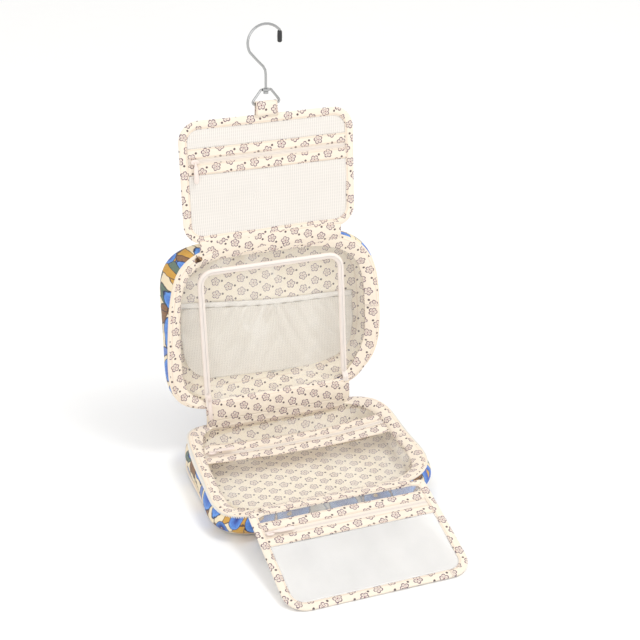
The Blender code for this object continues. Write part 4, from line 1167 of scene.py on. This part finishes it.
# Each strip: its curve, half width, columns, material, cloth's start, wave and stitch line.
GUSSET_ROW, SPINE_ROW = 19, 16
gusset = (curve_through((UPPER, -89, -4.2), (UPPER, -92.5, 0.2), (UPPER, -95, 1.2), (-41.0, -442), (-41.8, -450),
                        (-41.5, -459), (-41.0, -464.5), (LOWER, 88.5, -0.6), (LOWER, 91, -5.5)),
          91, 110, LINING, -14.2, 0.5, 5.6)
spine = (curve_through((UPPER, -97.6, -4.5), (UPPER, -102, -8.5), (UPPER, -110, -10.5), (LOWER, 106, 4),
                       (LOWER, 103.5, -4), (LOWER, 99.6, -8)), 84, 90, OUTER, 3.0, 0.8, 2.0)
top_band = (curve_through((PANEL, PANEL_BOTTOM + 5.5, 1.6), (PANEL, PANEL_BOTTOM + 1, 2.0), (UPPER, 99.5, 2.6),
                          (UPPER, 94, 1.5), (UPPER, 88, -1.4), (UPPER, 84, -3.2)), 86, 90, LINING, -9.0, 0.3, 2.0)
flap_band = (curve_through((FLAP, -8, 1.9), (FLAP, -3.5, 1.8), (LOWER, -98.5, 2.9), (LOWER, -94, 1.4),
                           (LOWER, -88, -1.2))[::-1], 86, 90, LINING, -5.0, 0.2, 2.0)
joint_cloth("gusset_cloth", gusset, (0, GUSSET_ROW), "centre_gusset")
joint_cloth("gusset_foot", gusset, (GUSSET_ROW, CURVE_ROWS), "centre_gusset")
joint_cloth("spine_cloth", spine, (0, SPINE_ROW), "outer_spine")
joint_cloth("spine_foot", spine, (SPINE_ROW, CURVE_ROWS), "outer_spine")
joint_cloth("top_hinge_cloth", top_band, (0, CURVE_ROWS), "top_panel_hinge_band")


# ---------------------------------------------------------------- flap

def build_flap():
    outline = rounded(-PANEL_HALF, PANEL_HALF, FLAP_BOTTOM, FLAP_TOP, 24, 6)
    wavy, height = panel_waves(80, 0.8, 9, 40)

    def trimmed(points):
        """The binding is narrower along the hinge."""
        moved = wavy(points)
        depth = np.clip(FLAP_TOP - moved[..., 1], 0, 12)
        inner = np.clip((98 - np.abs(moved[..., 0])) / 12, 0, 1) * (moved[..., 1] > -16)
        moved[..., 1] += inner * depth * 0.42
        return moved

    binding = sweep("flap_edge", outline, BIND, LINING, FLAP, closed=True, count=220, cloth_at=(-4.6, -1), seam=-8.2,
                    bend=trimmed)
    finished(binding, "flap", "flap_binding")
    edge = panel_edge(94.5, FLAP_BOTTOM + 9.0, FLAP_TOP - 4.6, 15, 2)
    zones = (("flap_narrow_sheet", -22.8, -8.4, CLEAR_THIN, "flap_clear_upper", 0.2, 0.15),
             ("flap_rear_strip", -31.9, -19.3, LINING, "flap_strip_upper", 0.75, 0.15),
             ("flap_zip_tape", -42.9, -29.7, ZIP_PALE, "flap_zip", 0.15, 0.15),
             ("flap_front_strip", -53.3, -40.7, LINING, "flap_strip_lower", 0.75, 0.15),
             ("flap_wide_sheet", FLAP_BOTTOM + 9.0, -52.9, CLEAR_FLAT, "flap_clear_lower", 0.4, 0.5))
    panel_bands(zones, edge, height, 15, 0.4, 1.3, (24.5, 3.5, 4.0), (0.0, 0.0), FLAP_ZIP_Y, FLAP, "flap", "flap_edge")
    points, cloth = band_grid(FLAP_BOTTOM + 9.0, -8.4, edge, 60, 30, height(-0.4, 0.3, 3))
    lay("flap_back_sheet", points, cloth, CLEAR_THICK, CLEAR_THIN, FLAP, "flap", ["flap_back_clear"], PANEL_SHEET, 124,
        "stretched", "flap_edge")
    zip_slider("flap_slider_body", "flap_slider", FLAP, 180)
    zip_pull("flap_pull_tab", "flap_pull", FLAP, 0)


build_flap()
joint_cloth("flap_hinge_cloth", flap_band, (0, CURVE_ROWS), "flap_hinge_strip")


# ---------------------------------------------------------------- floor, light and camera

FLOOR_Z = -0.5012
floor_material = Tree("floor")
speckle = floor_material.noise(floor_material.place(), 0.02, 2)
floor_material.finish(floor_material.mix(speckle, (0.955, 0.955, 0.95), (0.97, 0.97, 0.965)), 0.9)
bpy.ops.mesh.primitive_plane_add(size=14, location=(0, 0, FLOOR_Z))
floor = bpy.context.object
floor.name = "floor"
floor.data.materials.append(floor_material.material)

world = bpy.data.worlds.new("studio")
bpy.context.scene.world = world
world.use_nodes = True
background = world.node_tree.nodes["Background"].inputs
background["Color"].default_value = (1, 0.995, 0.985, 1)
background["Strength"].default_value = 0.98


def lamp(name, place, aim, size, power):
    light = bpy.data.lights.new(name, "AREA")
    light.size = size
    light.energy = power
    made = bpy.data.objects.new(name, light)
    made.location = place
    made.rotation_euler = (Vector(aim) - Vector(place)).to_track_quat("-Z", "Y").to_euler()
    bpy.context.scene.collection.objects.link(made)


LAMP_AIM = (0, -0.1, -0.35)
lamp("key", (0.9, -0.8, 1.8), LAMP_AIM, 0.8, 16)
lamp("fill", (-1.0, -1.8, 0.5), LAMP_AIM, 1.2, 5)
bpy.context.scene.view_settings.view_transform = "Standard"

# The photo's view: its direction in degrees, the point on the object, how far away, and the shifts in the frame
AZIMUTH, ELEVATION, ROLL = math.radians(-21.13), math.radians(25.92), math.radians(0.64)
LOOKED_AT = Vector((0, -0.0414, -0.3505))
SHIFT_RIGHT, SHIFT_UP, AWAY = 0.04812, 0.01174, 1.61229
backwards = Vector((math.sin(AZIMUTH) * math.cos(ELEVATION), -math.cos(AZIMUTH) * math.cos(ELEVATION),
                    math.sin(ELEVATION)))
level_right = Vector((math.cos(AZIMUTH), math.sin(AZIMUTH), 0))
level_up = backwards.cross(level_right)
right = level_right * math.cos(ROLL) + level_up * math.sin(ROLL)
up = level_up * math.cos(ROLL) - level_right * math.sin(ROLL)
camera_data = bpy.data.cameras.new("camera")
camera_data.lens = 77.33
camera_data.sensor_width = 36
camera_data.clip_end = 50
camera = bpy.data.objects.new("camera", camera_data)
spot = LOOKED_AT + right * SHIFT_RIGHT + up * SHIFT_UP + backwards * AWAY
camera.matrix_world = Matrix.Translation(spot) @ Matrix((right, up, backwards)).transposed().to_4x4()
bpy.context.scene.collection.objects.link(camera)
bpy.context.scene.camera = camera
